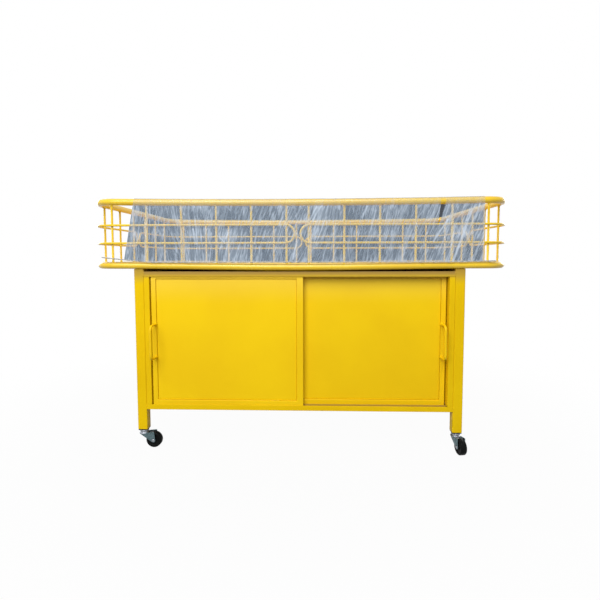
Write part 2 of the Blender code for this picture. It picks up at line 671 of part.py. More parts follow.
clear_scene()
PARTS = new_collection("sale_display_bin")
CUTTERS = new_collection("cutters")
CORNERS = {"front_left": (-1, -1), "front_right": (1, -1), "back_left": (-1, 1), "back_right": (1, 1)}
MIDDLE = new_empty("bin_middle", (0.0, MIDDLE_Y, 0.0))
make_rims()
make_wire_corners()
make_basket_floor()
make_film()
make_legs()
make_rails()
make_tracks()
make_stiles()
make_panels()
make_door("left_door", -1, FRONT_DOOR_FACE)
make_door("right_door", 1, REAR_DOOR_FACE)
make_casters()
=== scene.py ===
"""Looks of a sale display bin: a wire basket wrapped in film, on a cabinet with sliding doors and casters.

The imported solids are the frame. Every piece here is a surface worked out with numpy round them, in metres,
with +Z up and the front facing -Y. Outlines are flat arrays of points, and a shape is its points with a
list of face arrays.
"""

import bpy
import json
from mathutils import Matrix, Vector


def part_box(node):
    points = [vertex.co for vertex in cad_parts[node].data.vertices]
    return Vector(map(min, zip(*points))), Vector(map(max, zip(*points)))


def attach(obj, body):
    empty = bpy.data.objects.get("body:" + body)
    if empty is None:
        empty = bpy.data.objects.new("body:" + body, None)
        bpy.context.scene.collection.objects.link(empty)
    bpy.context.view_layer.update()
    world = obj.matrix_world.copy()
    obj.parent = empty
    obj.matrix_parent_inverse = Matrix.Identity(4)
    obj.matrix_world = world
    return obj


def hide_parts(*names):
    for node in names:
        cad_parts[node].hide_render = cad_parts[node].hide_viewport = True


bl_info = {
    "name": "Sale display bin",
    "version": (1, 0, 0),
    "blender": (4, 5, 0),
    "location": "View3D > Sidebar > Display Bin",
    "description": "Builds the finished pieces of a wire display bin round its packed solids",
    "category": "Object",
}

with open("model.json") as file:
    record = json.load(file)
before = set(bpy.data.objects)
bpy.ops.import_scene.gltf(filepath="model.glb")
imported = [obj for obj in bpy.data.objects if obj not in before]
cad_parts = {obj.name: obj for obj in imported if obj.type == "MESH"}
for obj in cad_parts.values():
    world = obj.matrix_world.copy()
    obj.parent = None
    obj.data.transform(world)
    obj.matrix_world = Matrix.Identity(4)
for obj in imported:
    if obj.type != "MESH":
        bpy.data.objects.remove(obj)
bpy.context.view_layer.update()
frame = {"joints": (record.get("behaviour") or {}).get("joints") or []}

import functools
import json
import math

import bmesh
import bpy
import numpy as np
from bpy.props import FloatProperty, FloatVectorProperty, PointerProperty
from bpy.types import Operator, Panel, PropertyGroup
from mathutils import Matrix, Vector

CORNERS = {"front_left": (-1, -1), "front_right": (1, -1), "back_left": (-1, 1), "back_right": (1, 1)}
JOINTS = {joint["name"]: joint for joint in frame["joints"]}

# Smoothness
SHARP_ANGLE = math.radians(40)
TUBE_SIDES = 32
WIRE_SIDES = 14
ROD_SIDES = 20
BEAD_SIDES = 10
HEM_SIDES = 18
TURN_STEPS = 64
COLLAR_STEPS = 40
CROWN_STEPS = 48
PIN_STEPS = 32
CORNER_STEPS = 6
EDGE_STEPS = 3
BEND_STEPS = 14
GRIP_STEPS = 12
BEAD_STEPS = 24
LOOP_BEND_STEPS = 16
LOOP_END_STEPS = 20
RIM_CORNER_STEPS = 20
RIM_RUN_STEPS = (16, 40)
FLOOR_CORNER_STEPS = 8
FLOOR_RUN_STEPS = (24, 40)
FLOOR_RINGS = 24
SHEET_STEPS = (72, 60)
HEM_STEPS = 420
FILM_COLUMNS = 670
FILM_TURN_ROWS = 14
FILM_DROP_ROWS = 64
NOISE_LATTICE = 512


def node_box(node):
    """The lowest and highest corners of a solid as arrays."""
    low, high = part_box(node)
    return np.array(low), np.array(high)


def node_middle(node):
    return sum(node_box(node)) / 2


def box_along(node, axis):
    """The corners of a solid's box with one axis put last, and the order that puts the axes back."""
    order = [other for other in range(3) if other != axis] + [axis]
    low, high = node_box(node)
    return low[order], high[order], np.argsort(order)


# The basket's middle plane, the heights of its two rims and the height halfway between them
MIDDLE_Y = node_middle("upper_rim")[1]
UPPER_RIM = node_middle("upper_rim")[2]
LOWER_RIM = node_middle("lower_rim")[2]
MIDDLE_Z = (LOWER_RIM + UPPER_RIM) / 2


# Settings that a user would change

def length(name, description, default):
    return FloatProperty(name=name, description=description, default=default, unit="LENGTH", precision=4)


def amount(name, description, default):
    return FloatProperty(name=name, description=description, default=default)


def power(name, description, default):
    return FloatProperty(name=name, description=description, default=default, unit="POWER")


def colour(name, description, default):
    return FloatVectorProperty(name=name, description=description, default=default, subtype="COLOR", size=3)


class BasketSettings(PropertyGroup):
    """Sizes of the rims and the welded wire panels"""

    rim_tube: length("Rim tube", "Diameter of the rim tube", 0.019)
    rim_corner: length("Rim corner", "Radius of the rim's corners on the tube's middle line", 0.068)
    upper_rise: length("Upper rise", "How far the upper rim's ends stand above its level", 0.0028)
    upper_sag: length("Upper sag", "How far the upper rim hangs between its ends", 0.0057)
    lower_rise: length("Lower rise", "How far the lower rim's ends stand above its level", 0.0018)
    lower_sag: length("Lower sag", "How far the lower rim hangs between its ends", 0.0053)
    wire: length("Wire", "Diameter of the basket wires", 0.0064)
    wire_corner: length("Wire corner", "Radius of the wire panels at the basket's corners", 0.065)
    weld_sink: length("Weld sink", "How deep the loop wires are pressed into the uprights", 0.0012)
    weld_flare: amount("Weld flare", "How much thicker an upright is where it meets a rim", 1.45)
    front_pitch: length("Front pitch", "Spacing of the uprights along the front and back", 0.100)
    front_gap: length("Middle gap", "Spacing of the two uprights at the middle of the front", 0.063)
    side_pitch: length("Side pitch", "Spacing of the uprights along the sides", 0.105)
    corner_margin: length("Corner margin", "How far the last upright stays from the end of its wall", 0.055)
    loop_spacing: length("Loop spacing", "Height between the two runs of a wire loop", 0.051)
    loop_gap: length("Loop gap", "Gap between the round ends of two loops", 0.017)


class FilmSettings(PropertyGroup):
    """Sizes and colours of the stretch film"""

    clearance: length("Clearance", "How far the film lies off the rim tube", 0.0006)
    left_top: length("Left edge, top", "Where the film's left edge crosses the upper rim", -0.464)
    left_bottom: length("Left edge, bottom", "Where the film's left edge meets the hem", -0.495)
    right: length("Right edge", "Where the film's right edge runs", 0.517)
    slit_left: length("Slit, left", "Left side of the slit at the upper rim", 0.396)
    slit_right: length("Slit, right", "Right side of the slit at the upper rim", 0.4115)
    slit_foot: length("Slit, foot", "Where the slit ends along the front", 0.388)
    slit_drop: length("Slit drop", "How far the slit reaches down from the upper rim", 0.078)
    hem_roll: length("Hem roll", "Diameter of the bunched lower edge", 0.0032)
    hem_lift: length("Hem lift", "How far the hem runs above the lower rim's level", 0.0012)
    hem_left: length("Hem, left end", "Where the hem ends on the left", -0.5655)
    hem_right: length("Hem, right end", "Where the hem ends on the right", 0.556)
    hem_rise_left: length("Hem rise, left", "How far the hem climbs towards its left end", 0.0145)
    hem_rise_right: length("Hem rise, right", "How far the hem climbs towards its right end", 0.003)
    hem_level_end: length("Hem straight", "How far out from the middle the hem stays level", 0.420)
    wrinkle: length("Wrinkle", "Height of the widest wrinkles", 0.0007)
    haze: colour("Haze", "Colour of the film between its streaks", (0.250, 0.335, 0.440))
    streak: colour("Streak", "Colour of the film's drawn streaks", (0.56, 0.645, 0.755))
    hem_shade: colour("Hem shade", "Colour of the rolled hem in its creases", (0.30, 0.31, 0.30))
    hem_light: colour("Hem light", "Colour of the rolled hem on its ridges", (0.58, 0.58, 0.55))


class CabinetSettings(PropertyGroup):
    """Sizes of the cabinet's tubes, channels and sheets that the solids' boxes don't give"""

    leg_corner: length("Leg corner", "Outer corner radius of the leg tube", 0.003)
    rail_corner: length("Rail corner", "Outer corner radius of the rail tube", 0.002)
    tube_wall: length("Tube wall", "Wall of the leg and rail tubes", 0.0015)
    track_wall: length("Track wall", "Wall of the door tracks and stiles", 0.002)
    fold_round: length("Fold round", "Rounding of folded sheet edges", 0.0008)
    edge_round: length("Edge round", "Rounding of cut edges", 0.0004)
    ripple: length("Ripple", "How far the large sheets wave in and out", 0.0005)
    weld_lap: length("Weld lap", "How far a sheet runs on into what it is welded to", 0.0006)


class DoorSettings(PropertyGroup):
    """Sizes of the sliding doors and their handles"""

    border: length("Border", "Width of the border at the top and the outer edge", 0.014)
    wide_border: length("Wide border", "Width of the border at the bottom and the meeting edge", 0.019)
    border_round: length("Border round", "Rounding of the border's edges", 0.0012)
    panel_roll: length("Panel roll", "How far a door sheet's edges are rolled back", 0.0016)
    handle_rod: length("Handle rod", "Diameter of the handle's rod", 0.007)
    handle_bend: length("Handle bend", "Bending radius of the handle's rod", 0.013)
    handle_flare: amount("Handle flare", "How much thicker the rod is at its welded feet", 1.5)


class CasterSettings(PropertyGroup):
    """Sizes of the swivel casters"""

    wheel: length("Wheel", "Diameter of the wheel", 0.046)
    wheel_width: length("Wheel width", "Width of the wheel over its hub", 0.018)
    tread_round: length("Tread round", "Rounding of the tread's shoulders", 0.004)
    hub: length("Hub", "Diameter of the wheel's hub", 0.018)
    fork_plate: length("Fork plate", "Thickness of the fork's cheeks", 0.002)
    fork_gap: length("Fork gap", "Gap between the wheel and a cheek", 0.0012)
    fork_eye: length("Fork eye", "Radius of a cheek round the axle", 0.0065)
    fork_nose: length("Fork nose", "How far a cheek's top reaches past the axle", 0.003)
    crown: length("Crown", "Diameter of the fork's crown", 0.029)
    plug_flange: length("Plug flange", "Height of the plug's flange below the leg", 0.003)
    collar: length("Collar", "Diameter of the collar under the leg", 0.026)
    stem: length("Stem", "Diameter of the threaded stem", 0.010)
    thread_pitch: length("Thread pitch", "Pitch of the stem's thread", 0.0015)
    axle: length("Axle", "Diameter of the axle pin", 0.006)
    axle_head: length("Axle head", "Diameter of the axle pin's heads", 0.009)


class FinishSettings(PropertyGroup):
    """Colours of the enamel, metal, rubber and plastic"""

    yellow: colour("Yellow", "Enamel colour", (0.87, 0.58, 0.005))
    deep_yellow: colour("Deep yellow", "Enamel colour where the coat is thick", (0.82, 0.525, 0.004))
    chip: colour("Chip", "Colour of chips and pits in the enamel", (0.16, 0.085, 0.02))
    # Painted shade with some grime: the colour of the darkened rim tops, track grooves and the tops of the
    # legs and tracks under the basket's rim
    shade_and_soil: colour("Soil", "Grime under the basket's rim", (0.36, 0.225, 0.055))
    # A painted reflection with pale dust, set in towards the top of the doors and sheets
    sheen_and_dust: colour("Veil", "Pale dust on the upper part of the doors", (0.86, 0.72, 0.55))
    bright_zinc: colour("Bright zinc", "Plating of the collars and pins", (0.36, 0.38, 0.42))
    # The forks' plating, darkened as painted shade for the dark surroundings that it reflects
    dull_zinc: colour("Dull zinc", "Plating of the forks", (0.125, 0.185, 0.20))
    rubber: colour("Rubber", "Wheel rubber", (0.003, 0.0034, 0.0032))
    dust: colour("Dust", "Dust and scuffs on rubber and plastic", (0.020, 0.021, 0.022))
    nylon: colour("Nylon", "Door glides", (0.72, 0.71, 0.66))
    plastic: colour("Plastic", "Plugs in the legs", (0.02, 0.02, 0.02))


class StageSettings(PropertyGroup):
    """Camera, lamps and floor"""

    eye: FloatVectorProperty(name="Eye", description="Place of the camera", subtype="TRANSLATION",
                             unit="LENGTH", default=(0.0479, -1.5545, 0.5600))
    gaze: FloatVectorProperty(name="Gaze", description="Camera pitch, roll and yaw", subtype="EULER",
                              default=(math.radians(-3.81), math.radians(-0.108), math.radians(1.93)))
    lens: FloatProperty(name="Lens", description="Focal length on a 36 mm frame", unit="CAMERA",
                        default=25.99)
    frame_shift: amount("Frame shift", "Vertical shift of the frame, in frame widths", -0.02245)
    floor: colour("Floor", "Floor", (0.22, 0.22, 0.22))
    dim_wall: colour("Dim wall", "Backdrop, which only shows through the film", (0.07, 0.075, 0.085))
    ambient: amount("Ambient", "Strength of the light from all round", 0.36)
    overhead_power: power("Overhead power", "Power of the overhead lamp", 62.0)
    front_power: power("Front power", "Power of the front lamp", 36.0)
    side_power: power("Side power", "Power of each lamp behind and beside the bin", 42.0)


SETTINGS = {
    "basket": BasketSettings,
    "film": FilmSettings,
    "cabinet": CabinetSettings,
    "doors": DoorSettings,
    "casters": CasterSettings,
    "finishes": FinishSettings,
    "stage": StageSettings,
}


def settings(context, group):
    return getattr(context.scene, "display_bin_" + group)


# Outlines and surfaces

def unit(vectors):
    return vectors / np.linalg.norm(vectors, axis=-1, keepdims=True)


def circle(radius, steps):
    """Points at equal angles on a circle about the origin."""
    angle = np.linspace(0, 2 * np.pi, steps, endpoint=False)
    return radius * np.stack((np.cos(angle), np.sin(angle)), axis=1)


def arc(centre, radius, start, end, steps):
    """Points on an arc, with angles in degrees."""
    angle = np.radians(np.linspace(start, end, steps + 1))
    return np.asarray(centre) + radius * np.stack((np.cos(angle), np.sin(angle)), axis=1)


def rounded_rectangle(half_size, radius, corner_steps=CORNER_STEPS, run_steps=(1, 1), centre=(0.0, 0.0)):
    """Quarter circles at four corners, joined by straight runs split into steps: upright runs, level runs."""
    x, y = np.asarray(half_size) - radius
    corners = [arc(middle, radius, 90 * index, 90 * index + 90, corner_steps)
               for index, middle in enumerate(((x, y), (-x, y), (-x, -y), (x, -y)))]
    pieces = []
    for index, corner in enumerate(corners):
        start = corners[index - 1][-1]
        share = np.linspace(0, 1, run_steps[index % 2] + 1)[1:-1, None]
        pieces += [start + share * (corner[0] - start), corner]
    return np.concatenate(pieces) + np.asarray(centre)


def rounded_outline(corners, radius, steps=EDGE_STEPS):
    """A polygon whose corners are quadratic curves that begin and end a radius away along both sides.

    A curve takes up less than half of a short side, so that two of them never meet.
    """
    most = 0.45
    corners = np.asarray(corners, float)
    before = np.roll(corners, 1, axis=0) - corners
    after = np.roll(corners, -1, axis=0) - corners
    start = corners + before * np.minimum(radius / np.linalg.norm(before, axis=1, keepdims=True), most)
    end = corners + after * np.minimum(radius / np.linalg.norm(after, axis=1, keepdims=True), most)
    share = np.linspace(0, 1, steps + 1)[None, :, None]
    curve = (1 - share) ** 2 * start[:, None] + 2 * share * (1 - share) * corners[:, None]
    return (curve + share ** 2 * end[:, None]).reshape(-1, 2)


def counter_clockwise(outline):
    x, y = outline.T
    area = np.sum(x * np.roll(y, -1) - y * np.roll(x, -1))
    return outline if area > 0 else outline[::-1]


def drawn_in(outline, distance):
    """An outline moved inwards: each point goes along the sum of its two sides' normals."""
    ahead = unit(np.roll(outline, -1, axis=0) - outline)
    normal = np.stack((-ahead[:, 1], ahead[:, 0]), axis=1)
    last = np.roll(normal, 1, axis=0)
    return outline + distance * (normal + last) / (1 + np.sum(normal * last, axis=1, keepdims=True))


def grid_faces(rows, columns, wrap_rows=False, wrap_columns=False):
    """Four-sided faces between neighbouring points of a grid, row by row."""
    index = np.arange(rows * columns).reshape(rows, columns)
    if wrap_rows:
        index = np.concatenate((index, index[:1]))
    if wrap_columns:
        index = np.concatenate((index, index[:, :1]), axis=1)
    quads = (index[:-1, :-1], index[:-1, 1:], index[1:, 1:], index[1:, :-1])
    return np.stack(quads, axis=-1).reshape(-1, 4)


def skinned(rows, joined=False):
    """Rings of points joined one to the next. The first and last are capped, or joined to each other."""
    count, columns = rows.shape[:2]
    faces = [grid_faces(count, columns, joined, True)]
    if not joined:
        ring = np.arange(columns)
        faces += [ring[None, ::-1], ring[None] + (count - 1) * columns]
    return rows.reshape(-1, 3), faces


def swept(path, section, up=(0.0, 0.0, 1.0), closed=False, size=1.0, spin=0.0):
    """A section carried along a path. Its first axis is square to the path and to up, its second to both.

    Size scales and spin turns the section at each point of the path.
    """
    path = np.asarray(path, float)
    if closed:
        ahead = unit(np.roll(path, -1, axis=0) - np.roll(path, 1, axis=0))
    else:
        ahead = unit(np.gradient(path, axis=0))
    across = unit(np.cross(ahead, np.asarray(up, float)))
    over = np.cross(across, ahead)
    size = np.broadcast_to(size, len(path))[:, None]
    spin = np.broadcast_to(spin, len(path))[:, None]
    first = size * (np.cos(spin) * section[:, 0] - np.sin(spin) * section[:, 1])
    second = size * (np.sin(spin) * section[:, 0] + np.cos(spin) * section[:, 1])
    rows = path[:, None] + first[..., None] * across[:, None] + second[..., None] * over[:, None]
    return skinned(rows, closed)


def turned(profile, steps=TURN_STEPS, joined=False):
    """A profile of radius and height turned about Z."""
    radius, height = np.asarray(profile, float).T
    x, y = circle(1.0, steps).T
    rows = np.stack((radius[:, None] * x, radius[:, None] * y, height[:, None] + 0 * x), axis=-1)
    return skinned(rows, joined)


def rounded_ends(low, high, edge):
    """Levels from one end of a prism to the other, and how far its outline draws in at each of them.

    Along a quarter circle at each end the outline goes out with the sine and the level in with the cosine.
    """
    angle = np.linspace(0, np.pi / 2, EDGE_STEPS + 1)
    inset = edge * (1 - np.sin(angle))
    rise = edge * (1 - np.cos(angle))
    return np.concatenate((low + rise, (high - rise)[::-1])), np.concatenate((inset, inset[::-1]))


def levelled(outline, level):
    return np.column_stack((outline, np.full(len(outline), level)))


def stacked(outline, low, high, edge):
    """Rows of an outline from one level to another, drawn in round both ends."""
    levels, insets = rounded_ends(low, high, edge)
    return [levelled(drawn_in(outline, inset), level) for level, inset in zip(levels, insets)]


def plate(outline, low, high, edge):
    """An outline extruded between two levels, with rounded edges."""
    return skinned(np.stack(stacked(counter_clockwise(outline), low, high, edge)))


def hollow_tube(outer, bore, low, high, edge):
    """A tube between two outlines of equal counts: rows go up its outside and down its bore."""
    rows = [*stacked(outer, low, high, edge), levelled(bore, high), levelled(bore, low)]
    return skinned(np.stack(rows), joined=True)


def slab(front, back):
    """A thin sheet between two like grids of points, closed round its edges."""
    rows, columns = front.shape[:2]
    index = np.arange(rows * columns).reshape(rows, columns)
    edge = np.concatenate((index[0, :-1], index[:-1, -1], index[-1, :0:-1], index[:0:-1, 0]))
    far = edge + index.size
    sides = np.stack((edge, far, np.roll(far, -1), np.roll(edge, -1)), axis=1)
    faces = grid_faces(rows, columns)
    points = np.concatenate((front.reshape(-1, 3), back.reshape(-1, 3)))
    return points, [faces, faces[:, ::-1] + index.size, sides]


def blob(centre, radius, rings=5, steps=8):
    """A small lump of weld: a ball from rings at equal angles between the caps on its poles."""
    cap = 0.35
    angle = np.linspace(cap, np.pi - cap, rings)
    points, faces = turned(np.stack((np.sin(angle), -np.cos(angle)), axis=1), steps)
    return radius * points + np.asarray(centre), faces


def with_axes(shape, order):
    """A shape with its coordinates put in another order."""
    points, faces = shape
    return points[:, list(order)], faces


def moved(shape, offset, turn=0.0):
    """A shape turned about Z and then moved."""
    points, faces = shape
    spin = np.array(Matrix.Rotation(turn, 3, "Z"))
    return points @ spin.T + np.asarray(offset), faces


def tipped(shape):
    """A shape turned about Z laid over, so that its axis runs along Y."""
    return with_axes(shape, (0, 2, 1))


def smooth_step(low, high, value):
    share = np.clip((value - low) / (high - low), 0, 1)
    return share * share * (3 - 2 * share)


def soft_noise(x, y, seed):
    """Smooth values from -1 to 1: seeded random values on a unit lattice, blended by a smooth step."""
    lattice = np.random.default_rng(seed).uniform(-1, 1, (NOISE_LATTICE, NOISE_LATTICE))
    column = np.floor(x).astype(int)
    row = np.floor(y).astype(int)
    share_x = smooth_step(0, 1, x - column)
    share_y = smooth_step(0, 1, y - row)

    def along(row):
        near = lattice[column % NOISE_LATTICE, row % NOISE_LATTICE]
        far = lattice[(column + 1) % NOISE_LATTICE, row % NOISE_LATTICE]
        return near * (1 - share_x) + far * share_x

    return along(row) * (1 - share_y) + along(row + 1) * share_y


# Pieces

def make_piece(name, node, shapes, finish, body="bin", flat=False, closed=True):
    """One finished piece from its shapes, riding on a body and standing for a solid.

    A closed piece has its faces turned outwards, and a flat one has its normals weighted by area.
    """
    points = []
    faces = []
    start = 0
    for shape_points, shape_faces in shapes:
        points += shape_points.tolist()
        for block in shape_faces:
            faces += (np.asarray(block) + start).tolist()
        start += len(shape_points)
    mesh = bpy.data.meshes.new(name)
    mesh.from_pydata(points, [], faces)
    if closed:
        shell = bmesh.new()
        shell.from_mesh(mesh)
        bmesh.ops.recalc_face_normals(shell, faces=shell.faces)
        shell.to_mesh(mesh)
        shell.free()
    mesh.shade_smooth()
    mesh.set_sharp_from_angle(angle=SHARP_ANGLE)
    mesh.materials.append(finish)
    piece = bpy.data.objects.new(name, mesh)
    bpy.context.scene.collection.objects.link(piece)
    if flat:
        even = piece.modifiers.new("even_faces", "WEIGHTED_NORMAL")
        even.keep_sharp = True
    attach(piece, body)
    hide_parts(node)
    return piece


def set_attribute(mesh, name, values):
    layer = mesh.attributes.new(name, "FLOAT", "POINT")
    layer.data.foreach_set("value", np.ravel(values).astype(np.float32))


def set_drape(mesh, coordinates):
    """A UV map that holds each point's place across and along the film's lean."""
    corners = np.empty(len(mesh.loops), int)
    mesh.loops.foreach_get("vertex_index", corners)
    values = np.stack([np.ravel(part) for part in coordinates], axis=1)[corners]
    mesh.uv_layers.new(name="drape").uv.foreach_set("vector", values.astype(np.float32).ravel())


# Materials

def feed(tree, socket, value):
    """Link another node's output to a socket, or give the socket a plain value."""
    if isinstance(value, bpy.types.NodeSocket):
        tree.links.new(value, socket)
    else:
        socket.default_value = value


def add_node(tree, kind, inputs=None, **options):
    """A node with its options set, and its inputs given values or linked to other nodes' outputs."""
    node = tree.nodes.new(kind)
    for option, value in options.items():
        setattr(node, option, value)
    for socket, value in (inputs or {}).items():
        feed(tree, node.inputs[socket], value)
    return node


def mixed(tree, share, first, second):
    """The colour between two others. Plain colours are written with four values."""
    return add_node(tree, "ShaderNodeMix", {0: share, 6: first, 7: second}, data_type="RGBA").outputs[2]


def maths(tree, operation, first, second, clamp=False):
    node = add_node(tree, "ShaderNodeMath", {0: first, 1: second}, operation=operation, use_clamp=clamp)
    return node.outputs[0]


def ranged(tree, value, from_low, from_high, to_low, to_high):
    """A value moved smoothly from one range to another."""
    inputs = {"Value": value, "From Min": from_low, "From Max": from_high,
              "To Min": to_low, "To Max": to_high}
    return add_node(tree, "ShaderNodeMapRange", inputs, interpolation_type="SMOOTHSTEP").outputs["Result"]


def noise(tree, vector, scale, detail=2.0, roughness=0.5):
    inputs = {"Vector": vector, "Scale": scale, "Detail": detail, "Roughness": roughness}
    return add_node(tree, "ShaderNodeTexNoise", inputs).outputs["Fac"]


def new_group(name, inputs, outputs):
    """An empty node group. Inputs and outputs are names with a socket type and, for inputs, a default."""
    group = bpy.data.node_groups.new(name, "ShaderNodeTree")
    for socket, kind, default in inputs:
        made = group.interface.new_socket(socket, in_out="INPUT", socket_type=kind)
        if default is not None:
            made.default_value = default
    for socket, kind in outputs:
        group.interface.new_socket(socket, in_out="OUTPUT", socket_type=kind)
    return group, group.nodes.new("NodeGroupInput").outputs, group.nodes.new("NodeGroupOutput").inputs


def surface_wear_group():
    """Broad patches, a fine peel of the surface and scattered small spots, all from Object coordinates."""
    group, source, sink = new_group("surface_wear", (
        ("Vector", "NodeSocketVector", None),
        ("Patch Scale", "NodeSocketFloat", 4.0),
        ("Peel Scale", "NodeSocketFloat", 420.0),
        ("Spot Scale", "NodeSocketFloat", 90.0),
        ("Spot Cover", "NodeSocketFloat", 0.02),
    ), (
        ("Patches", "NodeSocketFloat"),
        ("Peel", "NodeSocketFloat"),
        ("Spots", "NodeSocketFloat"),
    ))
    broad = noise(group, source["Vector"], source["Patch Scale"], 4.0, 0.55)
    group.links.new(ranged(group, broad, 0.32, 0.68, 0.0, 1.0), sink["Patches"])
    group.links.new(noise(group, source["Vector"], source["Peel Scale"], 1.0), sink["Peel"])
    # A spot is a small cell whose random value is under the cover, faded out from its middle
    inputs = {"Vector": source["Vector"], "Scale": source["Spot Scale"]}
    cells = add_node(group, "ShaderNodeTexVoronoi", inputs).outputs
    chosen = add_node(group, "ShaderNodeSeparateColor", {"Color": cells["Color"]}).outputs["Red"]
    chosen = maths(group, "LESS_THAN", chosen, source["Spot Cover"])
    near = ranged(group, cells["Distance"], 0.12, 0.3, 1.0, 0.0)
    group.links.new(maths(group, "MULTIPLY", chosen, near), sink["Spots"])
    return group


def fine_lines_group():
    """Thin lines where noise passes through its middle value, on coordinates stretched along the lines."""
    group, source, sink = new_group("fine_lines", (
        ("Vector", "NodeSocketVector", None),
        ("Stretch", "NodeSocketVector", (100.0, 15.0, 1.0)),
        ("Width", "NodeSocketFloat", 0.06),
    ), (("Lines", "NodeSocketFloat"),))
    stretched = add_node(group, "ShaderNodeVectorMath", {0: source["Vector"], 1: source["Stretch"]},
                         operation="MULTIPLY").outputs["Vector"]
    away = maths(group, "SUBTRACT", noise(group, stretched, 1.0, 2.0, 0.5), 0.5)
    away = add_node(group, "ShaderNodeMath", {0: away}, operation="ABSOLUTE").outputs[0]
    group.links.new(ranged(group, away, 0.0, source["Width"], 1.0, 0.0), sink["Lines"])
    return group


def shared_group(name, build):
    return bpy.data.node_groups.get(name) or build()


def placed_group(tree, group, inputs):
    return add_node(tree, "ShaderNodeGroup", inputs, node_tree=group).outputs


def new_material(name):
    material = bpy.data.materials.new(name)
    material.use_nodes = True
    return material, material.node_tree, material.node_tree.nodes["Principled BSDF"]


def built_once(build):
    """A material's function that gives back the material of that name where there already is one."""
    @functools.wraps(build)
    def find_or_build(name, *details):
        return bpy.data.materials.get(name) or build(name, *details)
    return find_or_build


def object_coordinates(tree):
    return add_node(tree, "ShaderNodeTexCoord").outputs["Object"]


def drape_coordinates(tree):
    return add_node(tree, "ShaderNodeUVMap", uv_map="drape").outputs["UV"]


def axis_value(tree, vector, axis):
    return add_node(tree, "ShaderNodeSeparateXYZ", {0: vector}).outputs[axis]


def stored_value(tree, name):
    """A value that the mesh stores at its points."""
    return add_node(tree, "ShaderNodeAttribute", attribute_name=name).outputs["Fac"]


def worn_surface(tree, **inputs):
    """The shared wear group on this material's Object coordinates."""
    values = {name.replace("_", " ").title(): value for name, value in inputs.items()}
    values["Vector"] = object_coordinates(tree)
    return placed_group(tree, shared_group("surface_wear", surface_wear_group), values)


def lined_surface(tree, vector, stretch, width):
    """The shared group of thin lines on these coordinates."""
    inputs = {"Vector": vector, "Stretch": stretch, "Width": width}
    return placed_group(tree, shared_group("fine_lines", fine_lines_group), inputs)["Lines"]


def set_shader(tree, shader, **inputs):
    """Values and links for a Principled shader, by socket name with underscores for spaces."""
    for name, value in inputs.items():
        feed(tree, shader.inputs[name.replace("_", " ")], value)


def bumped(tree, height, distance, strength=1.0):
    inputs = {"Height": height, "Distance": distance, "Strength": strength}
    return add_node(tree, "ShaderNodeBump", inputs).outputs["Normal"]


def opaque(values):
    return (*values, 1.0)


# Each enamel has its tone, which darkens the frame, the rims and the wires as a painted shade, the scale of
# its patches, the share of cells with a chip, its roughness and its specular level. Where a layer lies on it
# towards the top, painted shade with soil or a painted reflection with dust, the last part names that colour
# in the finishes, the heights between which it sets in and how much of the coat it covers
ENAMELS = {
    "rim_enamel": (0.97, 9.0, 0.004, 0.24, 0.7, None),
    "wire_enamel": (0.94, 22.0, 0.010, 0.24, 0.5, None),
    "frame_enamel": (0.94, 7.0, 0.002, 0.30, 0.04, ("shade_and_soil", 0.480, 0.522, 0.75)),
    "track_enamel": (0.94, 7.0, 0.002, 0.30, 0.06, ("shade_and_soil", 0.496, 0.520, 1.0)),
    "door_enamel": (1.0, 5.0, 0.0, 0.30, 0.15, ("sheen_and_dust", 0.42, 0.51, 0.06)),
    "sheet_enamel": (1.0, 3.0, 0.0, 0.42, 0.10, ("sheen_and_dust", 0.42, 0.51, 0.06)),
}


@built_once
def enamel_material(name, finishes):
    """Sprayed enamel: broad shade changes, an orange peel in the gloss and a few small chips.

    Grime with painted shade lies where the mesh stores it, and painted shade with soil or a painted
    reflection with dust sets in towards the top.
    """
    tone, patch_scale, spot_cover, roughness, gloss, cover = ENAMELS[name]
    material, tree, shader = new_material(name)
    wear = worn_surface(tree, patch_scale=patch_scale, peel_scale=380.0, spot_scale=70.0,
                        spot_cover=spot_cover)
    # The tone darkens the frame, rims and wires as a painted shade
    light = opaque(tone * value for value in finishes.yellow)
    deep = opaque(tone * value for value in finishes.deep_yellow)
    coat = mixed(tree, wear["Patches"], light, deep)
    # Grime with painted shade where the mesh stores it
    coat = mixed(tree, stored_value(tree, "grime"), coat, opaque(finishes.shade_and_soil))
    # Towards the top: painted shade with soil, or a painted reflection with dust
    if cover:
        layer, low, high, share = cover
        height = axis_value(tree, object_coordinates(tree), "Z")
        laid = ranged(tree, height, low, high, 0.0, share)
        coat = mixed(tree, laid, coat, opaque(getattr(finishes, layer)))
    set_shader(
        tree, shader,
        Base_Color=mixed(tree, wear["Spots"], coat, opaque(finishes.chip)),
        Roughness=ranged(tree, wear["Patches"], 0.0, 1.0, roughness, roughness + 0.12),
        Normal=bumped(tree, wear["Peel"], 0.00006),
        Specular_IOR_Level=gloss,
    )
    return material


@built_once
def zinc_material(name, tone, finishes, roughness):
    """Zinc plate: fine turned lines, cloudy tone and a few dusty spots."""
    material, tree, shader = new_material(name)
    wear = worn_surface(tree, patch_scale=120.0, peel_scale=900.0, spot_scale=400.0, spot_cover=0.06)
    lines = lined_surface(tree, object_coordinates(tree), (150.0, 150.0, 2600.0), 0.12)
    dark = opaque(0.6 * value for value in tone)
    cloudy = mixed(tree, wear["Patches"], opaque(tone), dark)
    set_shader(
        tree, shader,
        Base_Color=mixed(tree, wear["Spots"], cloudy, opaque(finishes.dust)),
        Roughness=ranged(tree, lines, 0.0, 1.0, roughness, roughness + 0.12),
        Normal=bumped(tree, lines, 0.00004),
        Metallic=1.0,
    )
    return material


